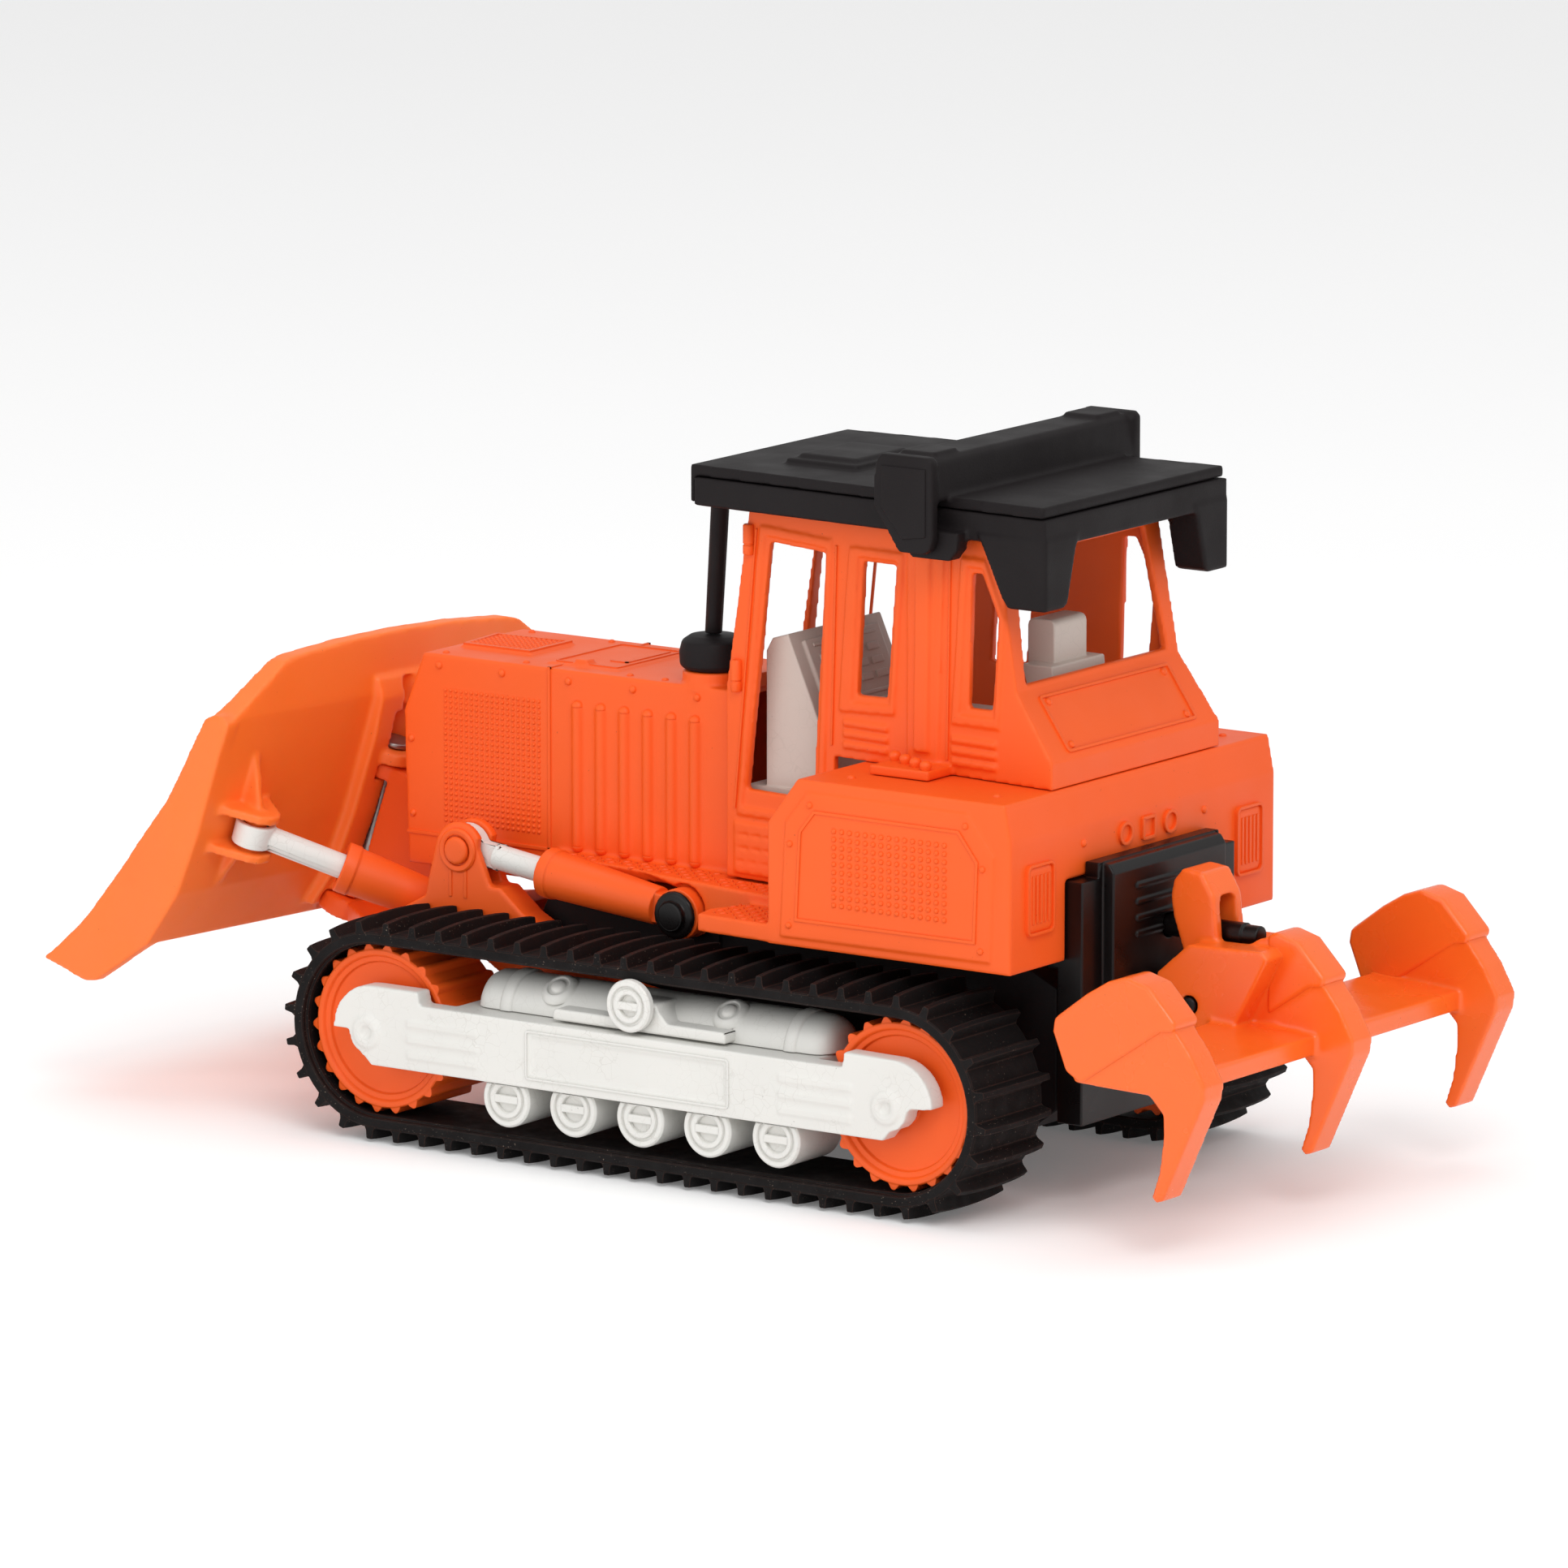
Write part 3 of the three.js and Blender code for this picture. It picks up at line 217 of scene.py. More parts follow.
def plastic(name, colour, roughness, grain_mm=0.35, grain=0.25, glow=0.0, edge_highlight=1.25, shine=0.5):
    """Moulded plastic: slow tone change, fine moulded grain, faint waviness, and a painted highlight that
    lightens edges and corners.
    """
    look = Look(name)
    edge, soft_normal = look.edges(0.45)
    tone = look.mix(look.noise(38, 2), scaled(colour, 0.93), scaled(colour, 1.06))
    # painted highlight: edges and corners are lightened towards the colour times edge_highlight, standing in
    # for the light caught on rounded edges
    edge_wear_and_highlight = look.mix(look.times(edge, look.noise(6, 3)), tone, scaled(colour, edge_highlight))
    speck = look.between(look.noise(1.1, 1), 0.79, 0.83)
    look.link(look.mix(look.times(speck, 0.5), edge_wear_and_highlight, scaled(colour, 0.35)), look.shader.inputs["Base Color"])
    rough = look.between(look.noise(14, 3), 0.3, 0.7, roughness - 0.05, roughness + 0.07)
    look.link(rough, look.shader.inputs["Roughness"])
    wave = look.bump(look.noise(9, 1), 0.12, 0.15, soft_normal)
    look.link(look.bump(look.noise(grain_mm, 3), grain, 0.06, wave), look.shader.inputs["Normal"])
    look.shader.inputs["IOR"].default_value = 1.48
    look.shader.inputs["Specular IOR Level"].default_value = shine
    if glow:
        look.shader.inputs["Subsurface Weight"].default_value = glow
        look.shader.inputs["Subsurface Radius"].default_value = (0.6, 0.2, 0.05)
        look.shader.inputs["Subsurface Scale"].default_value = 4 * MM
    return look


def crazed(look, crack_colour, size_mm, strength):
    """Hairline age cracks over a glossy finish."""
    line = look.between(look.cells(size_mm, "DISTANCE_TO_EDGE", size_mm * 0.6), 0.035, 0.0)
    patch = look.between(look.noise(size_mm * 4, 2), 0.4, 0.65)
    base = look.shader.inputs["Base Color"].links[0].from_socket
    amount = look.times(look.times(line, patch), strength)
    look.link(look.mix(amount, base, crack_colour), look.shader.inputs["Base Color"])
    return look


def rubber(name, colour):
    """Dull moulded rubber with pale dust and brown wear on its edges."""
    look = Look(name)
    edge, soft_normal = look.edges(0.4)
    tone = look.mix(look.noise(12, 3), scaled(colour, 0.75), scaled(colour, 1.25))
    edge_wear_and_highlight = look.mix(look.times(edge, look.noise(3, 3)), tone, linear(96, 66, 56))
    dust = look.between(look.noise(0.55, 1), 0.70, 0.76)
    patch = look.between(look.noise(16, 2), 0.42, 0.62)
    amount = look.times(look.times(dust, patch), 0.5)
    look.link(look.mix(amount, edge_wear_and_highlight, linear(150, 132, 118)), look.shader.inputs["Base Color"])
    look.link(look.between(look.noise(5, 3), 0.3, 0.7, 0.62, 0.82), look.shader.inputs["Roughness"])
    look.link(look.bump(look.noise(0.5, 4), 0.5, 0.1, soft_normal), look.shader.inputs["Normal"])
    look.shader.inputs["Specular IOR Level"].default_value = 0.2
    return look


def steel(name):
    look = Look(name)
    tone = look.mix(look.noise(5, 3), linear(120, 118, 115), linear(176, 174, 170))
    look.link(tone, look.shader.inputs["Base Color"])
    look.shader.inputs["Metallic"].default_value = 0.9
    look.link(look.between(look.noise(2, 3), 0.3, 0.7, 0.28, 0.45), look.shader.inputs["Roughness"])
    look.link(look.bump(look.noise(0.4, 2), 0.2, 0.04), look.shader.inputs["Normal"])
    return look


ORANGE = linear(240, 92, 26)
BLADE_ORANGE = linear(250, 118, 40)
RIPPER_ORANGE = linear(244, 105, 34)
WHITE = linear(220, 219, 214)
GREY = linear(198, 184, 174)
BLACK = linear(22, 17, 18)
GLOSS_BLACK = linear(12, 8, 8)
RUBBER = linear(12, 8, 8)

# the edge_highlight values set how strongly each material's edges are painted paler as a painted highlight
LOOKS = {
    "orange_shell": plastic("orange_shell", ORANGE, 0.46, grain_mm=0.4, grain=0.3, shine=0.35),
    "blade_orange": plastic("blade_orange", BLADE_ORANGE, 0.5, grain_mm=0.5, grain=0.3, glow=0.25),
    "ripper_orange": plastic("ripper_orange", RIPPER_ORANGE, 0.25, grain_mm=0.6, grain=0.16, glow=0.15),
    "white_plastic": crazed(
        plastic("white_plastic", WHITE, 0.4, grain_mm=0.5, grain=0.12, edge_highlight=1.05),
        linear(168, 162, 152), 3.0, 0.3),
    "cab_grey": crazed(
        plastic("cab_grey", GREY, 0.36, grain_mm=0.5, grain=0.1, edge_highlight=1.1),
        linear(156, 144, 132), 3.5, 0.25),
    "black_matte": plastic("black_matte", BLACK, 0.58, grain_mm=0.45, grain=0.75, edge_highlight=1.9, shine=0.2),
    "black_gloss": plastic(
        "black_gloss", GLOSS_BLACK, 0.3, grain_mm=0.6, grain=0.15, edge_highlight=2.2, shine=0.3),
    "track_rubber": rubber("track_rubber", RUBBER),
    "pin_steel": steel("pin_steel"),
}


# ---------- mesh building, in drawing millimetres ----------
def on_cab_slope(across, down, lift):
    """Point on the cab's sloping rear wall, a distance down it and above its face."""
    return (-103.6 - 0.571 * down - 0.821 * lift, across, 142.4 - 0.821 * down + 0.571 * lift)


PLACES = {
    "slope": on_cab_slope,
    "xz": lambda u, v, w: (u, w, v),
    "xy": lambda u, v, w: (u, v, w),
    "yz": lambda u, v, w: (w, u, v),
}


def skin(mesh, rings):
    """Walls between rings of equal length, and a cap on each end."""
    count = len(rings[0])
    for first, second in zip(rings, rings[1:]):
        for i in range(count):
            j = (i + 1) % count
            mesh.faces.new((first[i], first[j], second[j], second[i]))
    mesh.faces.new(rings[0])
    mesh.faces.new(rings[-1])


def prism(mesh, outline, plane, low, high):
    place = PLACES[plane]
    skin(mesh, [[mesh.verts.new(place(u, v, w)) for u, v in outline] for w in (low, high)])


def bar(mesh, low, high):
    outline = [(low[0], low[1]), (high[0], low[1]), (high[0], high[1]), (low[0], high[1])]
    prism(mesh, outline, "xy", low[2], high[2])


def arc(u, v, radius, start, end, steps):
    angles = [math.radians(start + (end - start) * i / steps) for i in range(steps + 1)]
    return [(u + radius * math.cos(a), v + radius * math.sin(a)) for a in angles]


def round_box(u0, u1, v0, v1, radius, steps=4):
    corners = ((u1, v0, -90, -1, 1), (u1, v1, 0, -1, -1), (u0, v1, 90, 1, -1), (u0, v0, 180, 1, 1))
    return [point for u, v, start, du, dv in corners
            for point in arc(u + du * radius, v + dv * radius, radius, start, start + 90, steps)]


def inset(outline, amount):
    """The outline moved inwards by an equal distance on every side."""
    area = sum(a[0] * b[1] - b[0] * a[1] for a, b in zip(outline, outline[1:] + outline[:1]))
    turn = 1 if area > 0 else -1
    moved = []
    for before, here, after in zip(outline[-1:] + outline[:-1], outline, outline[1:] + outline[:1]):
        first = (Vector(here) - Vector(before)).normalized()
        second = (Vector(after) - Vector(here)).normalized()
        normals = [Vector((-d.y, d.x)) * turn for d in (first, second)]
        middle = (normals[0] + normals[1]).normalized()
        moved.append(tuple(Vector(here) + middle * amount / max(0.3, middle.dot(normals[0]))))
    return moved


def ring(mesh, outline, width, plane, low, high):
    """A raised border that follows an outline."""
    place = PLACES[plane]
    inner = inset(outline, width)
    loops = [[mesh.verts.new(place(u, v, w)) for u, v in path]
             for path, w in ((outline, low), (outline, high), (inner, high), (inner, low))]
    count = len(outline)
    for first, second in zip(loops, loops[1:] + loops[:1]):
        for i in range(count):
            j = (i + 1) % count
            mesh.faces.new((first[i], first[j], second[j], second[i]))


def turned(mesh, profile, centre, axis, segments=40):
    """A solid of revolution from (radius, height) points, closed on the axis or on itself."""
    axis = Vector(axis).normalized()
    side = axis.orthogonal().normalized()
    other = axis.cross(side)
    angles = [2 * math.pi * i / segments for i in range(segments)]
    rings = []
    for radius, height in profile:
        middle = Vector(centre) + axis * height
        if radius < 1e-6:
            rings.append([mesh.verts.new(middle)])
            continue
        rings.append([mesh.verts.new(middle + (side * math.cos(a) + other * math.sin(a)) * radius)
                      for a in angles])
    pairs = list(zip(rings, rings[1:]))
    if len(rings[0]) > 1:
        pairs.append((rings[-1], rings[0]))
    for first, second in pairs:
        for i in range(segments):
            j = (i + 1) % segments
            corners = [first[i % len(first)], first[j % len(first)],
                       second[j % len(second)], second[i % len(second)]]
            mesh.faces.new(list(dict.fromkeys(corners)))


def stud(mesh, centre, normal, radius, height, segments=8):
    profile = [(0, -0.3), (radius, -0.3), (radius, 0), (radius * 0.86, height * 0.5),
               (radius * 0.5, height * 0.88), (0, height)]
    turned(mesh, profile, centre, normal, segments)


# ---------- pieces ----------
def body_of(node):
    return frame["nodes"][node]["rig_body"]


def dressed(piece, slot, body):
    piece.data.materials.clear()
    piece.data.materials.append(LOOKS[slot].material)
    for face in piece.data.polygons:
        face.use_smooth = True
    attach(piece, body)
    return piece


def rounded_edges(piece, width_mm, segments=2, angle=32):
    bevel = piece.modifiers.new("rounding", "BEVEL")
    bevel.width = width_mm * MM
    bevel.segments = segments
    bevel.limit_method = "ANGLE"
    bevel.angle_limit = math.radians(angle)
    bevel.use_clamp_overlap = False
    bevel.miter_outer = "MITER_ARC"
    weights = piece.modifiers.new("normals", "WEIGHTED_NORMAL")
    weights.keep_sharp = True
    weights.weight = 60


def linked(name, data):
    piece = bpy.data.objects.new(name, data)
    bpy.context.scene.collection.objects.link(piece)
    return piece


def made(name, mesh, slot, body, width_mm=0.0, replaces=()):
    """Turns a mesh drawn in millimetres into a dressed piece on its body."""
    bmesh.ops.recalc_face_normals(mesh, faces=mesh.faces)
    bmesh.ops.transform(mesh, matrix=TO_ROW, verts=mesh.verts)
    data = bpy.data.meshes.new(name)
    mesh.to_mesh(data)
    mesh.free()
    piece = dressed(linked(name, data), slot, body)
    if width_mm:
        rounded_edges(piece, width_mm)
    else:
        data.shade_smooth()
        data.set_sharp_from_angle(angle=math.radians(38))
    if replaces:
        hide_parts(*replaces)
    return piece


def shape_of(node, slot):
    """The CAD node's own shape, with its split corners joined, as a new piece."""
    mesh = bmesh.new()
    mesh.from_mesh(frame["nodes"][node].data)
    bmesh.ops.remove_doubles(mesh, verts=mesh.verts, dist=0.002 * MM)
    data = bpy.data.meshes.new(node + "_shape")
    mesh.to_mesh(data)
    mesh.free()
    piece = dressed(linked(node + "_shape", data), slot, body_of(node))
    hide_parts(node)
    return piece


def refined(node, slot, width_mm=0.45):
    piece = shape_of(node, slot)
    rounded_edges(piece, width_mm)
    return piece


def moulded(node, slot, grain_mm=0.6, softening=3):
    """The CAD shape with every edge and inner corner softened, as a moulding has."""
    piece = shape_of(node, slot)
    remesh = piece.modifiers.new("moulding", "REMESH")
    remesh.mode = "VOXEL"
    remesh.voxel_size = grain_mm * MM
    remesh.use_smooth_shade = True
    smooth = piece.modifiers.new("softening", "SMOOTH")
    smooth.factor = 0.5
    smooth.iterations = softening
    return piece


# ---------- undercarriage ----------
def along_belt(distance):
    """Point on the belt's outer face, and the outward and forward directions there."""
    run = 2 * AXLE_X
    bend = math.pi * BELT_OUT_R
    if distance < run:
        return (-AXLE_X + distance, AXLE_Z - BELT_OUT_R), (0, -1)
    if distance < run + bend:
        angle = -math.pi / 2 + (distance - run) / BELT_OUT_R
        centre = AXLE_X
    elif distance < 2 * run + bend:
        return (AXLE_X - (distance - run - bend), AXLE_Z + BELT_OUT_R), (0, 1)
    else:
        angle = math.pi / 2 + (distance - 2 * run - bend) / BELT_OUT_R
        centre = -AXLE_X
    out = (math.cos(angle), math.sin(angle))
    return (centre + BELT_OUT_R * out[0], AXLE_Z + BELT_OUT_R * out[1]), out


def lug_section(height):
    """Half of a lug's outline across the belt: distance along it and height."""
    half = [(1.9, -0.5), (1.5, 0.15), (1.2, 0.7), (0.95, height - 0.3), (0.7, height)]
    return half + [(-u, v) for u, v in reversed(half)]


def lug(mesh, distance, side):
    (x, z), (out_x, out_z) = along_belt(distance)
    low, high = BELT_Y
    stations = 9
    rings = []
    for k in range(stations):
        part = k / (stations - 1)
        crown = math.sin(math.pi * part) ** 0.7
        height = LUG_HEIGHT - 0.9 + 0.9 * crown
        y = (low + (high - low) * part) * side
        rings.append([mesh.verts.new((x + out_x * v - out_z * u, y, z + out_z * v + out_x * u))
                      for u, v in lug_section(height)])
    skin(mesh, rings)


def belt_band(mesh, side):
    """The flat band: its section swept round both ends, with a guide ridge near the rim."""
    low, high = BELT_Y
    section = [(low, 25.3), (low + 0.4, BELT_IN_R), (73.9, BELT_IN_R), (74.3, 24.3), (75.4, 24.3),
               (75.8, BELT_IN_R), (high - 0.3, BELT_IN_R), (high, 25.2), (high, BELT_OUT_R - 0.4),
               (high - 0.4, BELT_OUT_R), (low + 0.4, BELT_OUT_R), (low, BELT_OUT_R - 0.4)]
    turns = 32
    path = [(AXLE_X, -90 + 180 * i / turns) for i in range(turns + 1)]
    path += [(-AXLE_X, 90 + 180 * i / turns) for i in range(turns + 1)]
    rings = []
    for centre, degrees in path:
        c, s = math.cos(math.radians(degrees)), math.sin(math.radians(degrees))
        rings.append([mesh.verts.new((centre + r * c, y * side, AXLE_Z + r * s)) for y, r in section])
    count = len(section)
    for first, second in zip(rings, rings[1:] + rings[:1]):
        for i in range(count):
            j = (i + 1) % count
            mesh.faces.new((first[i], first[j], second[j], second[i]))


def belt(name, side):
    mesh = bmesh.new()
    belt_band(mesh, side)
    pitch = (4 * AXLE_X + 2 * math.pi * BELT_OUT_R) / LUGS
    for i in range(LUGS):
        lug(mesh, (i + 0.5) * pitch, side)
    made(f"track_belt_{name}", mesh, "track_rubber", "machine", replaces=[f"belt_{name}"])


def wheel(end, centre_x, name, side):
    mesh = bmesh.new()
    y0, y1 = WHEEL_Y
    profile = [
        (3.6, y0 + 0.6), (3.6, y1 - 1.4), (5.6, y1 - 1.4), (6, y1 - 1.9), (13, y1 - 2.3), (18.6, y1 - 2.1),
        (19, y1 - 1.3), (20.4, y1 - 1.1), (20.8, y1 - 0.3), (21.2, y1), (22.3, y1), (22.7, y1 - 0.4),
        (22.7, y0 + 0.3), (22.4, y0), (20.6, y0), (20.4, 65.6), (8.4, 66), (8, y0 - 0.2), (4, y0 - 0.2)]
    turned(mesh, profile, (centre_x, 0, AXLE_Z), (0, side, 0), 72)
    for i in range(WHEEL_TEETH):
        middle = 360 / WHEEL_TEETH * (i + 0.81)
        points = []
        for radius, half in ((22.2, 5.2), (23.1, 3.6), (23.9, 1.9), (24.2, 0.9)):
            points.append((radius, middle - half))
        points += [(radius, 2 * middle - angle) for radius, angle in reversed(points)]
        outline = [(centre_x + r * math.cos(math.radians(a)), AXLE_Z + r * math.sin(math.radians(a)))
                   for r, a in points]
        prism(mesh, outline, "xz", side * (y0 + 0.3), side * (y1 - 0.2))
    node = f"wheel_{end}_{name}"
    made(f"track_{node}", mesh, "orange_shell", node, replaces=[node])


def roller_profile(radius, start, face):
    return [
        (0, start), (radius - 0.6, start), (radius, start + 0.6), (radius, face - 0.6),
        (radius - 0.5, face), (radius - 1.7, face), (radius - 1.9, face - 0.7),
        (radius - 2.5, face - 0.7), (radius - 2.7, face), (radius - 3.9, face), (radius - 4.2, face - 0.3),
        (radius - 4.3, face - 1.4), (0, face - 1.4)]


def roller_bar(mesh, x, z, face, side):
    half = 3.9
    low, high = sorted((side * (face - 1.6), side * (face - 0.1)))
    bar(mesh, (x - half, low, z - 1.1), (x + half, high, z + 1.1))


def trimmed(mesh, height, cut_side):
    """Cuts the mesh level at a height, drops the part on the cut side (1 up, -1 down) and caps it."""
    everything = list(mesh.verts) + list(mesh.edges) + list(mesh.faces)
    cut = bmesh.ops.bisect_plane(
        mesh, geom=everything, plane_co=(0, 0, height), plane_no=(0, 0, cut_side), clear_outer=True)
    rim = [one for one in cut["geom_cut"] if isinstance(one, bmesh.types.BMEdge)]
    bmesh.ops.holes_fill(mesh, edges=rim, sides=0)


def rollers(name, side):
    for i, x in enumerate(ROLLERS_X):
        mesh = bmesh.new()
        turned(mesh, roller_profile(8, 58, ROLLER_FACE_Y), (x, 0, ROLLER_Z), (0, side, 0), 48)
        trimmed(mesh, ROLLER_CUT_Z, 1)
        roller_bar(mesh, x, ROLLER_Z, ROLLER_FACE_Y, side)
        node = f"roller_{i + 1}_{name}"
        made(f"track_{node}", mesh, "white_plastic", "machine", replaces=[node])
    mesh = bmesh.new()
    x, z = TOP_ROLLER
    turned(mesh, roller_profile(7.4, 77.7, TOP_ROLLER_FACE_Y), (x, 0, z), (0, side, 0), 48)
    roller_bar(mesh, x, z, TOP_ROLLER_FACE_Y, side)
    made(f"top_roller_{name}", mesh, "white_plastic", "machine", replaces=[f"carrier_roller_{name}"])


def tank(name, side):
    """Round tank on the track frame: domed ends behind raised bands, two filler caps, a saddle."""
    mesh = bmesh.new()
    r, z, y = 10.8, 41.5, 62
    front, rear = 57.4, -62.4
    end = [(0, 0), (5.4, 0.1), (7.2, 0.7), (8.8, 1.9), (9.8, 3.8), (10.1, 6), (10.1, 9.6), (10.5, 9.9),
           (r, 10.4), (r, 13), (r - 0.3, 13.6), (r - 0.7, 13.8)]
    profile = [(radius, rear + reach) for radius, reach in end]
    profile += [(radius, front - reach) for radius, reach in reversed(end)]
    turned(mesh, profile, (0, side * y, z), (1, 0, 0), 56)
    trimmed(mesh, FRAME_TOP, -1)
    cap = [(0, 0), (5.6, 0), (5.2, 0.9), (4, 1.9), (3.4, 2), (3.1, 1.6), (2.3, 1.6), (2, 2.3),
           (1.4, 2.7), (0, 2.8)]
    outward, upward = math.sin(CAP_LEAN), math.cos(CAP_LEAN)
    for x in (30, -28):
        seat = (x, side * (y + r * outward), z + r * upward)
        turned(mesh, [(radius, h - 1.6) for radius, h in cap], seat, (0, side * outward, upward), 28)
    made(f"round_tank_{name}", mesh, "white_plastic", "machine", replaces=[f"tank_{name}"])
    mesh = bmesh.new()
    saddle = [(26.4, 42.4), (-32.3, 42.4), (-32.3, 44.9), (-31.4, 45.8), (-12.6, 45.8), (-9.7, 49),
              (-8.6, 51), (3, 51), (4.6, 47.4), (6.7, 45.8), (25.4, 45.8), (26.4, 44.9)]
    low, high = sorted((side * 66, side * 76.9))
    prism(mesh, saddle, "xz", low, high)
    made(f"tank_saddle_{name}", mesh, "white_plastic", "machine", 0.8)


def frame_details(name, side):
    mesh = bmesh.new()
    hub = [(2.3, -0.4), (2.3, 0.1), (2.7, 0.35), (3.3, 0.35), (3.6, 0), (3.6, -0.4)]
    for x in (88.2, -88.1):
        turned(mesh, hub, (x, side * (FRAME_FACE_Y + 0.55), 32.1), (0, side, 0), 32)
    low, high = sorted((side * (FRAME_FACE_Y - 0.3), side * (FRAME_FACE_Y + 0.4)))
    ring(mesh, round_box(-35.9, 33.3, 25.3, 39.4, 1.2), 0.7, "xz", low, high)
    made(f"track_frame_trim_{name}", mesh, "white_plastic", "machine")


# ---------- hood, walkways and fenders ----------
def dot_field(mesh, xs, zs, y, side, radius=0.55, height=0.42):
    for x in xs:
        for z in zs:
            stud(mesh, (x, side * y, z), (0, side, 0), radius, height, 6)


def spread(first, last, count):
    return [first + (last - first) * i / (count - 1) for i in range(count)]


def side_dots(name, side):
    mesh = bmesh.new()
    dot_field(mesh, spread(101.9, 69.3, 19), spread(119.7, 82.3, 25), HOOD_Y, side, 0.65, 0.5)
    dot_field(mesh, spread(-61.5, -98, 15), spread(103.7, 83.1, 10), FENDER_PANEL_Y, side, 0.85, 0.6)
    made(f"body_dots_{name}", mesh, "orange_shell", "machine")


FENDER_PANEL = [(-52.6, 113.3), (-45.3, 104.3), (-43.6, 72.6), (-112.7, 73), (-113.8, 101.8), (-105, 113)]


def side_trim(name, side):
    mesh = bmesh.new()
    for x in (104.1, 82.1, 59, 36.7, 14.6):
        stud(mesh, (x, side * HOOD_Y, 126.5), (0, side, 0), 1.15, 0.9, 16)
    for x, z in ((114, 104.6), (113.5, 83.1)):
        stud(mesh, (x, side * HOOD_Y, z), (0, side, 0), 1.1, 0.8, 16)
    for x, z in ((-53.4, 110), (-46.8, 98.6), (-46.4, 75.8), (-104.8, 109.8), (-110.4, 98.5), (-109.8, 75.7)):
        stud(mesh, (x, side * FENDER_PANEL_Y, z), (0, side, 0), 1.0, 0.75, 14)
    for x in HOOD_RIBS_X:
        for z in (79.5, 120):
            stud(mesh, (x, side * (HOOD_Y - 0.1), z), (0, 0, 1 if z > 100 else -1), 1.9, 1.5, 16)
    low, high = sorted((side * (HOOD_Y - 0.3), side * (HOOD_Y + 0.4)))
    bar(mesh, (65.1, low, 77.4), (66.1, high, HOOD_TOP + 0.3))
    bar(mesh, (62, low, 77.3), (115.6, high, 78.3))
    inner = inset(FENDER_PANEL, 4.6)
    low, high = sorted((side * (FENDER_PANEL_Y - 0.3), side * (FENDER_PANEL_Y + 0.35)))
    ring(mesh, inner, 0.9, "xz", low, high)
    made(f"body_trim_{name}", mesh, "orange_shell", "machine")


def top_trim():
    mesh = bmesh.new()
    pad_top = 130.5
    ring(mesh, [(107.6, -8.4), (105.7, 10.2), (82.3, 10.2), (82.3, -10.2)], 1.3, "xy",
         pad_top - 0.3, pad_top + 0.45)
    for x in spread(85, 104.5, 12):
        for y in spread(-7.4, 7.4, 9):
            stud(mesh, (x, y, pad_top), (0, 0, 1), 0.75, 0.5, 8)
    hatch_top = 130.3
    ring(mesh, round_box(47.2, 69.3, -15.8, 16.6, 1.5), 0.7, "xy", hatch_top - 0.3, hatch_top + 0.35)
    bar(mesh, (50, -13, hatch_top - 0.2), (50.9, 8, hatch_top + 0.3))
    bar(mesh, (50, 7.2, hatch_top - 0.2), (56, 8, hatch_top + 0.3))
    bar(mesh, (65.1, -HOOD_Y - 0.3, HOOD_TOP - 0.3), (66.1, HOOD_Y + 0.3, HOOD_TOP + 0.3))
    for x in (104.1, 76, 40, 28):
        for y in (-20.5, 20.5):
            stud(mesh, (x, y, HOOD_TOP), (0, 0, 1), 1.1, 0.7, 14)
    for side in (1, -1):
        for x in (-60, -108):
            stud(mesh, (x, side * 56, 116.7), (0, 0, 1), 1.2, 0.8, 14)
    made("hood_top_trim", mesh, "orange_shell", "machine")


def front_grille():
    """Slats on the hood's front, which leans forward as it goes down from the top edge."""
    mesh = bmesh.new()
    for z in spread(74, 108, 12):
        front = 115.3 + (z - 68.6) * 1.4 / 43.8
        bar(mesh, (front - 0.6, -18, z - 0.7), (front + 0.7, 18, z + 0.7))
    outline = round_box(-20.4, 20.4, 71, 111, 2)
    ring(mesh, outline, 1.1, "yz", 114.6, 117.2)
    made("hood_front_grille", mesh, "orange_shell", "machine", 0.3)


def inside(point, outline):
    hits = 0
    for (u0, v0), (u1, v1) in zip(outline, outline[1:] + outline[:1]):
        if (v0 > point[1]) != (v1 > point[1]):
            hits += point[0] < u0 + (point[1] - v0) / (v1 - v0) * (u1 - u0)
    return hits % 2 == 1


def tread_plate(mesh, outline, z, side, pitch=3.1):
    """Raised lozenges on a walkway, turned one way and the other."""
    area = inset(outline, 1.5)
    us, vs = [p[0] for p in area], [p[1] for p in area]
    columns = int((max(us) - min(us)) / pitch) + 1
    rows = int((max(vs) - min(vs)) / pitch) + 1
    for i in range(columns):
        for j in range(rows):
            x, y = min(us) + (i + 0.5) * pitch, min(vs) + (j + 0.5) * pitch
            if not inside((x, y), area):
                continue
            turn = math.radians(45 if (i + j) % 2 else -45)
            along = Vector((math.cos(turn), math.sin(turn)))
            across = Vector((-along.y, along.x))
            corners = [along * 1.35, across * 0.5, along * -1.35, across * -0.5]
            base = [(x + c.x, side * (y + c.y)) for c in corners]
            top = [(x + c.x * 0.6, side * (y + c.y * 0.6)) for c in corners]
            rings = [[mesh.verts.new((u, v, height)) for u, v in path]
                     for path, height in ((base, z - 0.2), (base, z), (top, z + 0.4))]
            skin(mesh, rings)


WALK_OUTLINE = [(62, 24.4), (62, 27), (59.7, 30.2), (3.6, 40.1), (-13, 43.2), (-38.2, 46.6),
                (-38.2, 34.6), (1.4, 30), (1.6, 24.4)]
STEP_OUTLINE = [(-12.4, 56), (-14, 64.2), (-38.6, 65.7), (-38.6, 48), (-16, 44.6)]


def walkways(name, side):
    mesh = bmesh.new()
    tread_plate(mesh, WALK_OUTLINE, WALK_TOP, side)
    tread_plate(mesh, STEP_OUTLINE, STEP_TOP, side)
    made(f"walkway_tread_{name}", mesh, "orange_shell", "machine")


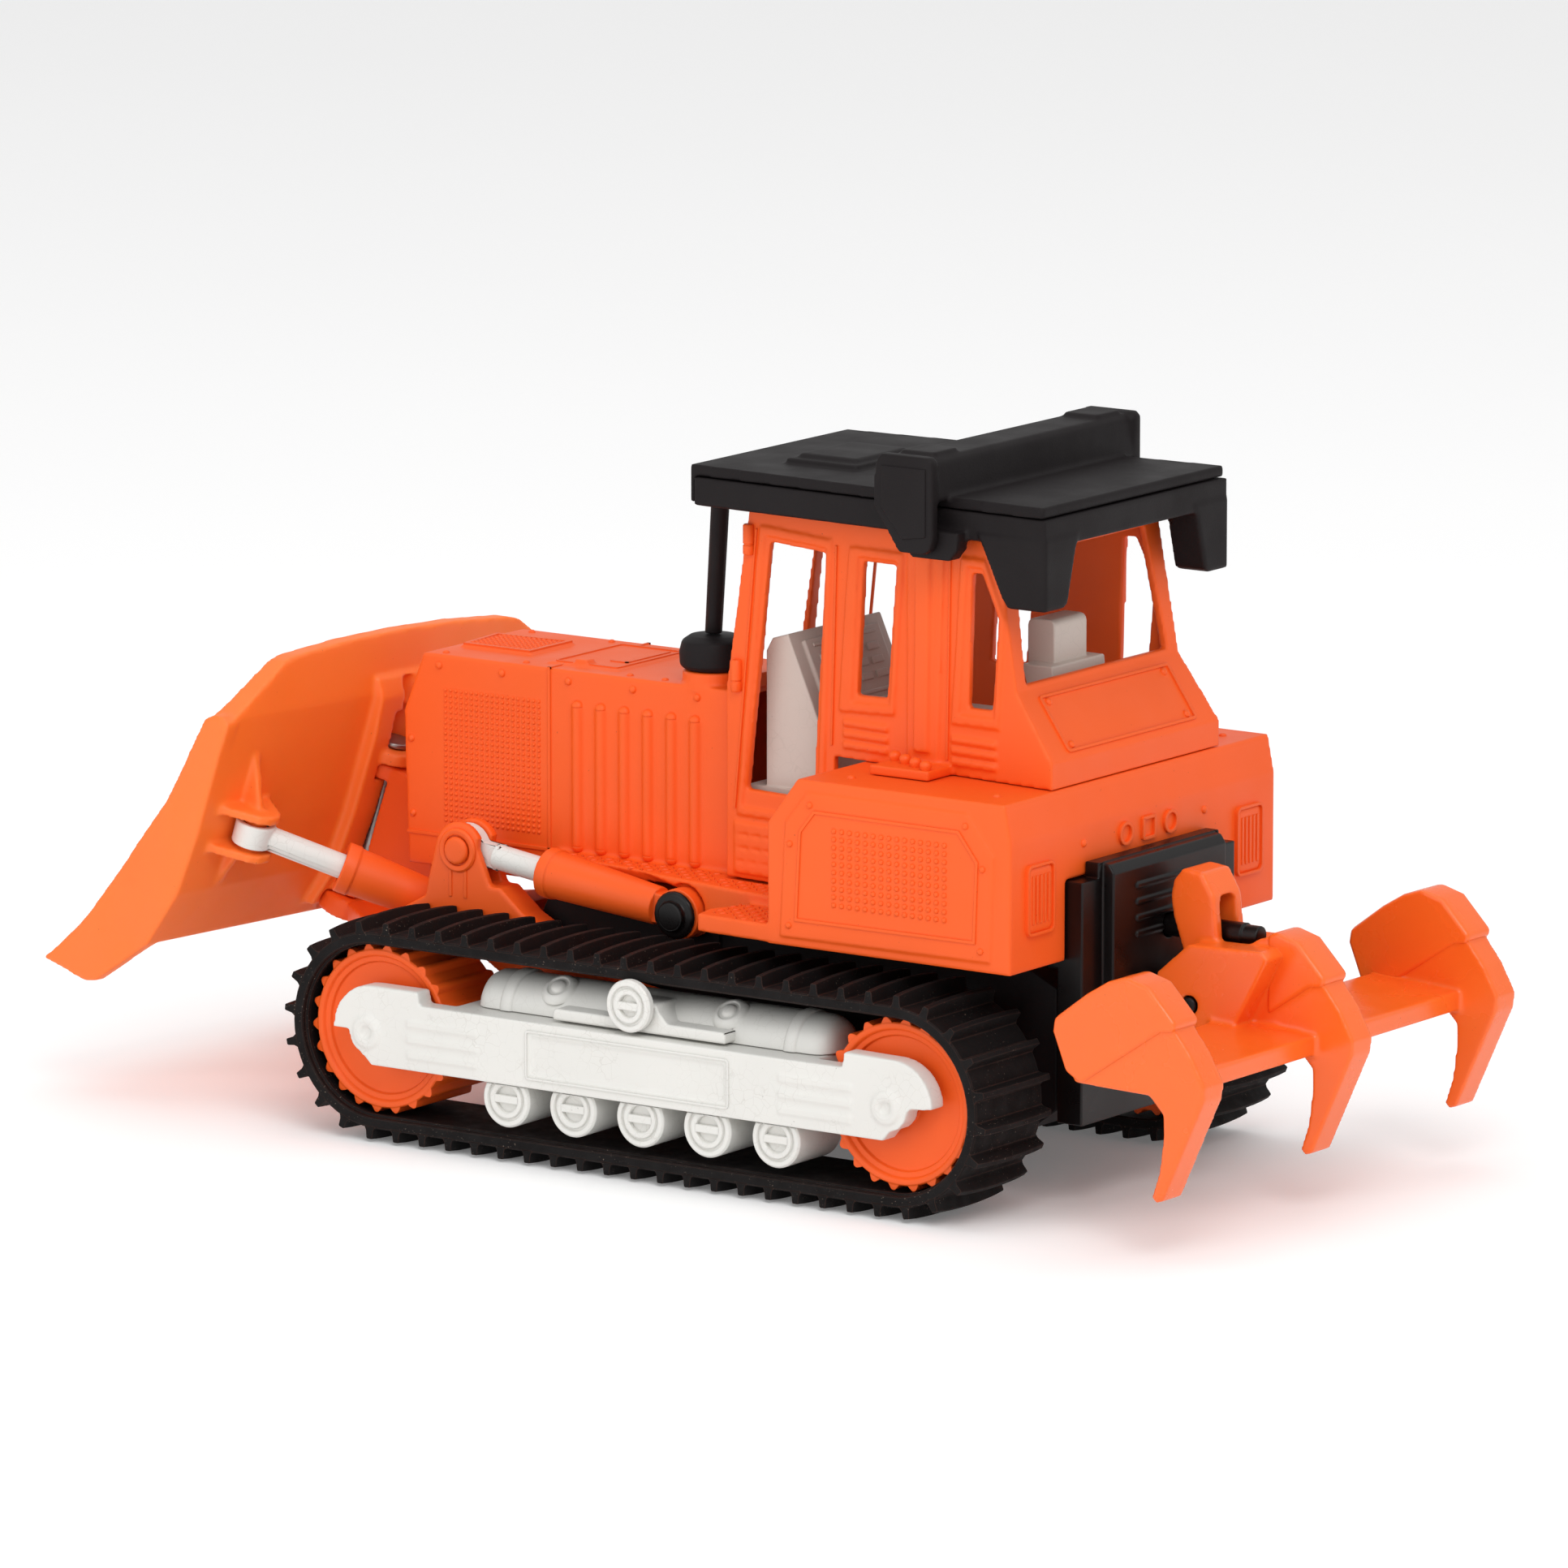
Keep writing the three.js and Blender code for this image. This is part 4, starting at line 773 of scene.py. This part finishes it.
def rear_details():
    mesh = bmesh.new()
    for side in (1, -1):
        outer = round_box(side * 52 - 6.6, side * 52 + 6.6, 79.4, 99.1, 2)
        ring(mesh, outer, 0.8, "yz", -120.2, -118.9)
        for slat in spread(-3.8, 3.8, 5):
            y = side * 52 + slat
            bar(mesh, (-120.1, y - 0.45, 82.6), (-118.9, y + 0.45, 95.9))
    for y, corner in ((9.8, 3.2), (-1.5, 0.8), (-12.4, 3.2)):
        outline = round_box(y - 3.3, y + 3.3, 97.3, 103.9, corner, 6)
        ring(mesh, outline, 0.9, "yz", -119.9, -118.9)
    for y in (-30, 30):
        stud(mesh, (REAR_FACE_X, y, 101), (-1, 0, 0), 1.2, 0.8, 14)
    made("rear_lamps", mesh, "orange_shell", "machine")


# ---------- cab ----------
def cab_details(name, side):
    mesh = bmesh.new()
    for x, low, high in ((-3.1, 131, 140), (-7.6, 170, 178.6)):
        y = side * (cab_wall(x) + 0.6)
        pin = [(0, 0), (1.3, 0), (1.6, 0.4), (1.6, 2.6), (1.35, 2.8), (1.35, 3.1), (1.6, 3.3),
               (1.6, high - low - 0.4), (1.3, high - low), (0, high - low)]
        turned(mesh, pin, (x, y, low), (0, 0, 1), 16)
    for i in range(4):
        part = i / 3
        x, y = -63.4 - 15.4 * part, 40 + 7.6 * part
        turned(mesh, [(0, -1.7), (1.2, -1.2), (1.7, 0), (1.6, 0.8), (1.1, 1.4), (0, 1.7)],
               (x, side * y, 120.6), (0, 0, 1), 16)
    for down in (4.6, 18):
        stud(mesh, on_cab_slope(side * 28.5, down, 0), (-0.821, 0, 0.571), 1.2, 0.9, 14)
    made(f"cab_fittings_{name}", mesh, "orange_shell", "machine")


def cab_slope_panel():
    mesh = bmesh.new()
    ring(mesh, round_box(-32, 32, 2.4, 20.2, 1.2), 0.9, "slope", -0.3, 0.5)
    made("cab_slope_panel", mesh, "orange_shell", "machine")


def strip_on_cab(mesh, outline, low, high, side):
    rings = []
    for height in (low, high):
        rings.append([mesh.verts.new((x, side * (cab_wall(x) + height), z)) for x, z in outline])
    skin(mesh, rings)


def cab_lines(name, side):
    """Fine upright beads beside the door and along the pillars."""
    mesh = bmesh.new()
    lines = [((-10.2, 177.5), (-2.2, 98)), ((-39.3, 176), (-37.6, 120)), ((-66.8, 177), (-66.6, 121)),
             ((-76.9, 177), (-75.4, 121)), ((-80.2, 177.6), (-79.2, 121))]
    for (x1, z1), (x0, z0) in lines:
        strip_on_cab(mesh, [(x0 - 0.3, z0), (x0 + 0.3, z0), (x1 + 0.3, z1), (x1 - 0.3, z1)], -0.3, 0.45, side)
    made(f"cab_beads_{name}", mesh, "orange_shell", "machine")


def console_details():
    """Plain bars and keys on the sloping face; no lettering."""
    mesh = bmesh.new()
    top, bottom = Vector((-18.5, 0, 145.5)), Vector((-29.4, 0, 121.1))
    down = (bottom - top).normalized()
    out = Vector((down.z, 0, -down.x)).normalized()
    if out.x > 0:
        out = -out

    def plate_at(along, y0, y1, length, lift):
        start = top + down * along
        corners = [start, start + down * length]
        rings = [[mesh.verts.new(p + Vector((0, y, 0))) for p in
                  (corners[0] - out * 0.6, corners[0] + out * lift, corners[1] + out * lift,
                   corners[1] - out * 0.6)] for y in (y0, y1)]
        skin(mesh, rings)

    plate_at(1.5, -14, 16, 1.0, 0.4)
    for along in (5, 9, 13):
        for y in (-13, -5.5, 2, 9.5):
            plate_at(along, y, y + 5.4, 2.2, 0.5)
    plate_at(18, -13, 4, 1.2, 0.4)
    plate_at(20.6, -13, 11, 1.2, 0.4)
    made("console_keys", mesh, "cab_grey", "machine", 0.2)


def roof_details():
    mesh = bmesh.new()
    outline = [(-66.6, 203.4), (-81.3, 203.4), (-81.3, 184.6), (-73.6, 183.4), (-66.6, 192)]
    for side in (1, -1):
        low, high = sorted((side * 51.3, side * 52))
        prism(mesh, outline, "xz", low, high)
    made("roof_bar_end_plates", mesh, "black_matte", "machine", 0.35)


# ---------- linkage ----------
def linkage_details(name, side):
    mesh = bmesh.new()
    x, z = LIFT_EAR
    boss = [(4.4, -0.3), (4.4, 0.6), (4.8, 0.9), (5.8, 0.9), (6.3, 0.4), (6.3, -0.3)]
    turned(mesh, boss, (x, side * 44.7, z), (0, side, 0), 40)
    low, high = sorted((side * 44.4, side * 45))
    for rib in (-2.6, 2.6):
        bar(mesh, (x + rib - 0.5, low, 65.6), (x + rib + 0.5, high, 74))
    made(f"ear_boss_{name}", mesh, "orange_shell", "c_frame")


def lift_pin_face(name, side):
    """Stepped rings on the black head of the lift pin."""
    mesh = bmesh.new()
    x, z = LIFT_REAR
    face = [(4.9, -0.4), (4.9, 0.1), (5.1, 0.35), (5.6, 0.35), (5.9, 0.1), (5.9, -0.4)]
    turned(mesh, face, (x, side * 44.3, z), (0, side, 0), 40)
    made(f"lift_pin_face_{name}", mesh, "black_gloss", "machine")


RIPPER_CAP = [(-142.2, 60), (-146.4, 49.3), (-151.4, 46.3), (-176.8, 63.4), (-181, 63.8), (-181.9, 66.3),
              (-173, 75.6), (-166, 77.6), (-159.8, 75.5), (-153, 71.4), (-142.6, 63.6)]


# the middle cap starts behind the peg, which passes over the front of its shank
MIDDLE_CAP = [(-163, 54.1), (-176.8, 63.4), (-181, 63.8), (-181.9, 66.3), (-173, 75.6), (-166, 77.6),
              (-163, 76.6)]


def ripper_caps():
    """Each shank's thick cap, with its lip along the rear of the shank."""
    caps = ((SHANK_Y, RIPPER_CAP), (0, MIDDLE_CAP), (-SHANK_Y, RIPPER_CAP))
    for i, (middle, outline) in enumerate(caps):
        mesh = bmesh.new()
        prism(mesh, outline, "xz", middle - RIPPER_CAP_HALF, middle + RIPPER_CAP_HALF)
        made(f"ripper_cap_{i + 1}", mesh, "ripper_orange", "ripper", 1.3)


# ---------- assembly ----------
REFINED = {
    "orange_shell": ["ear_pin_left", "ear_pin_right"],
    "cab_grey": ["cab_console", "driver_seat"],
    "black_matte": ["chassis", "exhaust_cap", "exhaust_strut"],
    "black_gloss": ["rear_panel", "ripper_peg", "ripper_pin", "lift_pin_left", "lift_pin_right"],
    "pin_steel": ["swivel_pin", "c_frame_pin", "axle_front", "axle_rear"]
    + [f"belly_screw_{i}" for i in range(1, 5)],
}


def carried_over():
    for slot, nodes in REFINED.items():
        for node in nodes:
            refined(node, slot)
    for name, _ in SIDES:
        moulded(f"track_frame_{name}", "white_plastic", 0.5, 3)
        for part in ("lift_rod", "angle_rod"):
            refined(f"{part}_{name}", "white_plastic", 0.4)
        for part in ("lift_barrel", "angle_barrel"):
            refined(f"{part}_{name}", "orange_shell", 0.4)
    moulded("body_shell", "orange_shell", 0.55, 3)
    moulded("cab_shell", "orange_shell", 0.5, 3)
    moulded("c_frame", "orange_shell", 0.6, 3)
    moulded("blade", "blade_orange", 0.7, 5)
    moulded("ripper", "ripper_orange", 0.6, 5)
    moulded("roof_plate", "black_matte", 0.6, 4)
    moulded("roof_frame", "black_matte", 0.6, 4)


def details():
    for name, side in SIDES:
        belt(name, side)
        wheel("front", AXLE_X, name, side)
        wheel("rear", -AXLE_X, name, side)
        rollers(name, side)
        tank(name, side)
        frame_details(name, side)
        side_dots(name, side)
        side_trim(name, side)
        walkways(name, side)
        cab_details(name, side)
        cab_lines(name, side)
        linkage_details(name, side)
        lift_pin_face(name, side)
    top_trim()
    front_grille()
    rear_details()
    cab_slope_panel()
    console_details()
    roof_details()
    ripper_caps()


carried_over()
details()


# ---------- floor, light and camera ----------
CAMERA_PLACE = (-1971.5, 2812.3, 745.4)
VIEW_DIRECTION = (0.5645, -0.8045, -0.1847)
LENS = 286.7


def plain(name, colour, roughness):
    look = Look(name)
    tone = look.mix(look.noise(400, 2), scaled(colour, 0.985), colour)
    look.link(tone, look.shader.inputs["Base Color"])
    look.shader.inputs["Roughness"].default_value = roughness
    look.link(tone, look.shader.inputs["Emission Color"])
    look.shader.inputs["Emission Strength"].default_value = 0.12
    return look.material


def floor():
    mesh = bmesh.new()
    bmesh.ops.create_grid(mesh, x_segments=1, y_segments=1, size=12)
    data = bpy.data.meshes.new("floor")
    mesh.to_mesh(data)
    mesh.free()
    piece = bpy.data.objects.new("floor", data)
    piece.location.z = -0.1 * MM
    data.materials.append(plain("floor_white", linear(250, 250, 250), 0.7))
    bpy.context.scene.collection.objects.link(piece)


def lamp(name, place, target, size, power, tint=(1, 1, 1)):
    data = bpy.data.lights.new(name, "AREA")
    data.shape = "RECTANGLE"
    data.size = size
    data.size_y = size
    data.energy = power
    data.color = tint
    light = bpy.data.objects.new(name, data)
    light.location = place
    aim = Vector(target) - Vector(place)
    light.rotation_euler = aim.to_track_quat("-Z", "Y").to_euler()
    bpy.context.scene.collection.objects.link(light)


def studio():
    world = bpy.data.worlds.new("studio")
    bpy.context.scene.world = world
    world.use_nodes = True
    shade = world.node_tree.nodes["Background"]
    shade.inputs["Color"].default_value = (1, 1, 1, 1)
    shade.inputs["Strength"].default_value = 0.7
    centre = (0, 0, 0.08)
    lamp("key", (-1.3, 1.2, 1.7), centre, 1.2, 20)
    lamp("fill", (0.6, 2.2, 0.9), centre, 1.6, 9)
    lamp("top", (0.1, -0.2, 2.2), centre, 1.8, 9)


def camera():
    data = bpy.data.cameras.new("camera")
    data.lens = LENS
    data.sensor_width = 36
    data.clip_end = 40
    eye = bpy.data.objects.new("camera", data)
    eye.location = TO_ROW @ Vector(CAMERA_PLACE)
    eye.rotation_euler = Vector(VIEW_DIRECTION).to_track_quat("-Z", "Y").to_euler()
    bpy.context.scene.collection.objects.link(eye)
    bpy.context.scene.camera = eye


bpy.context.scene.view_settings.view_transform = "Standard"
floor()
studio()
camera()
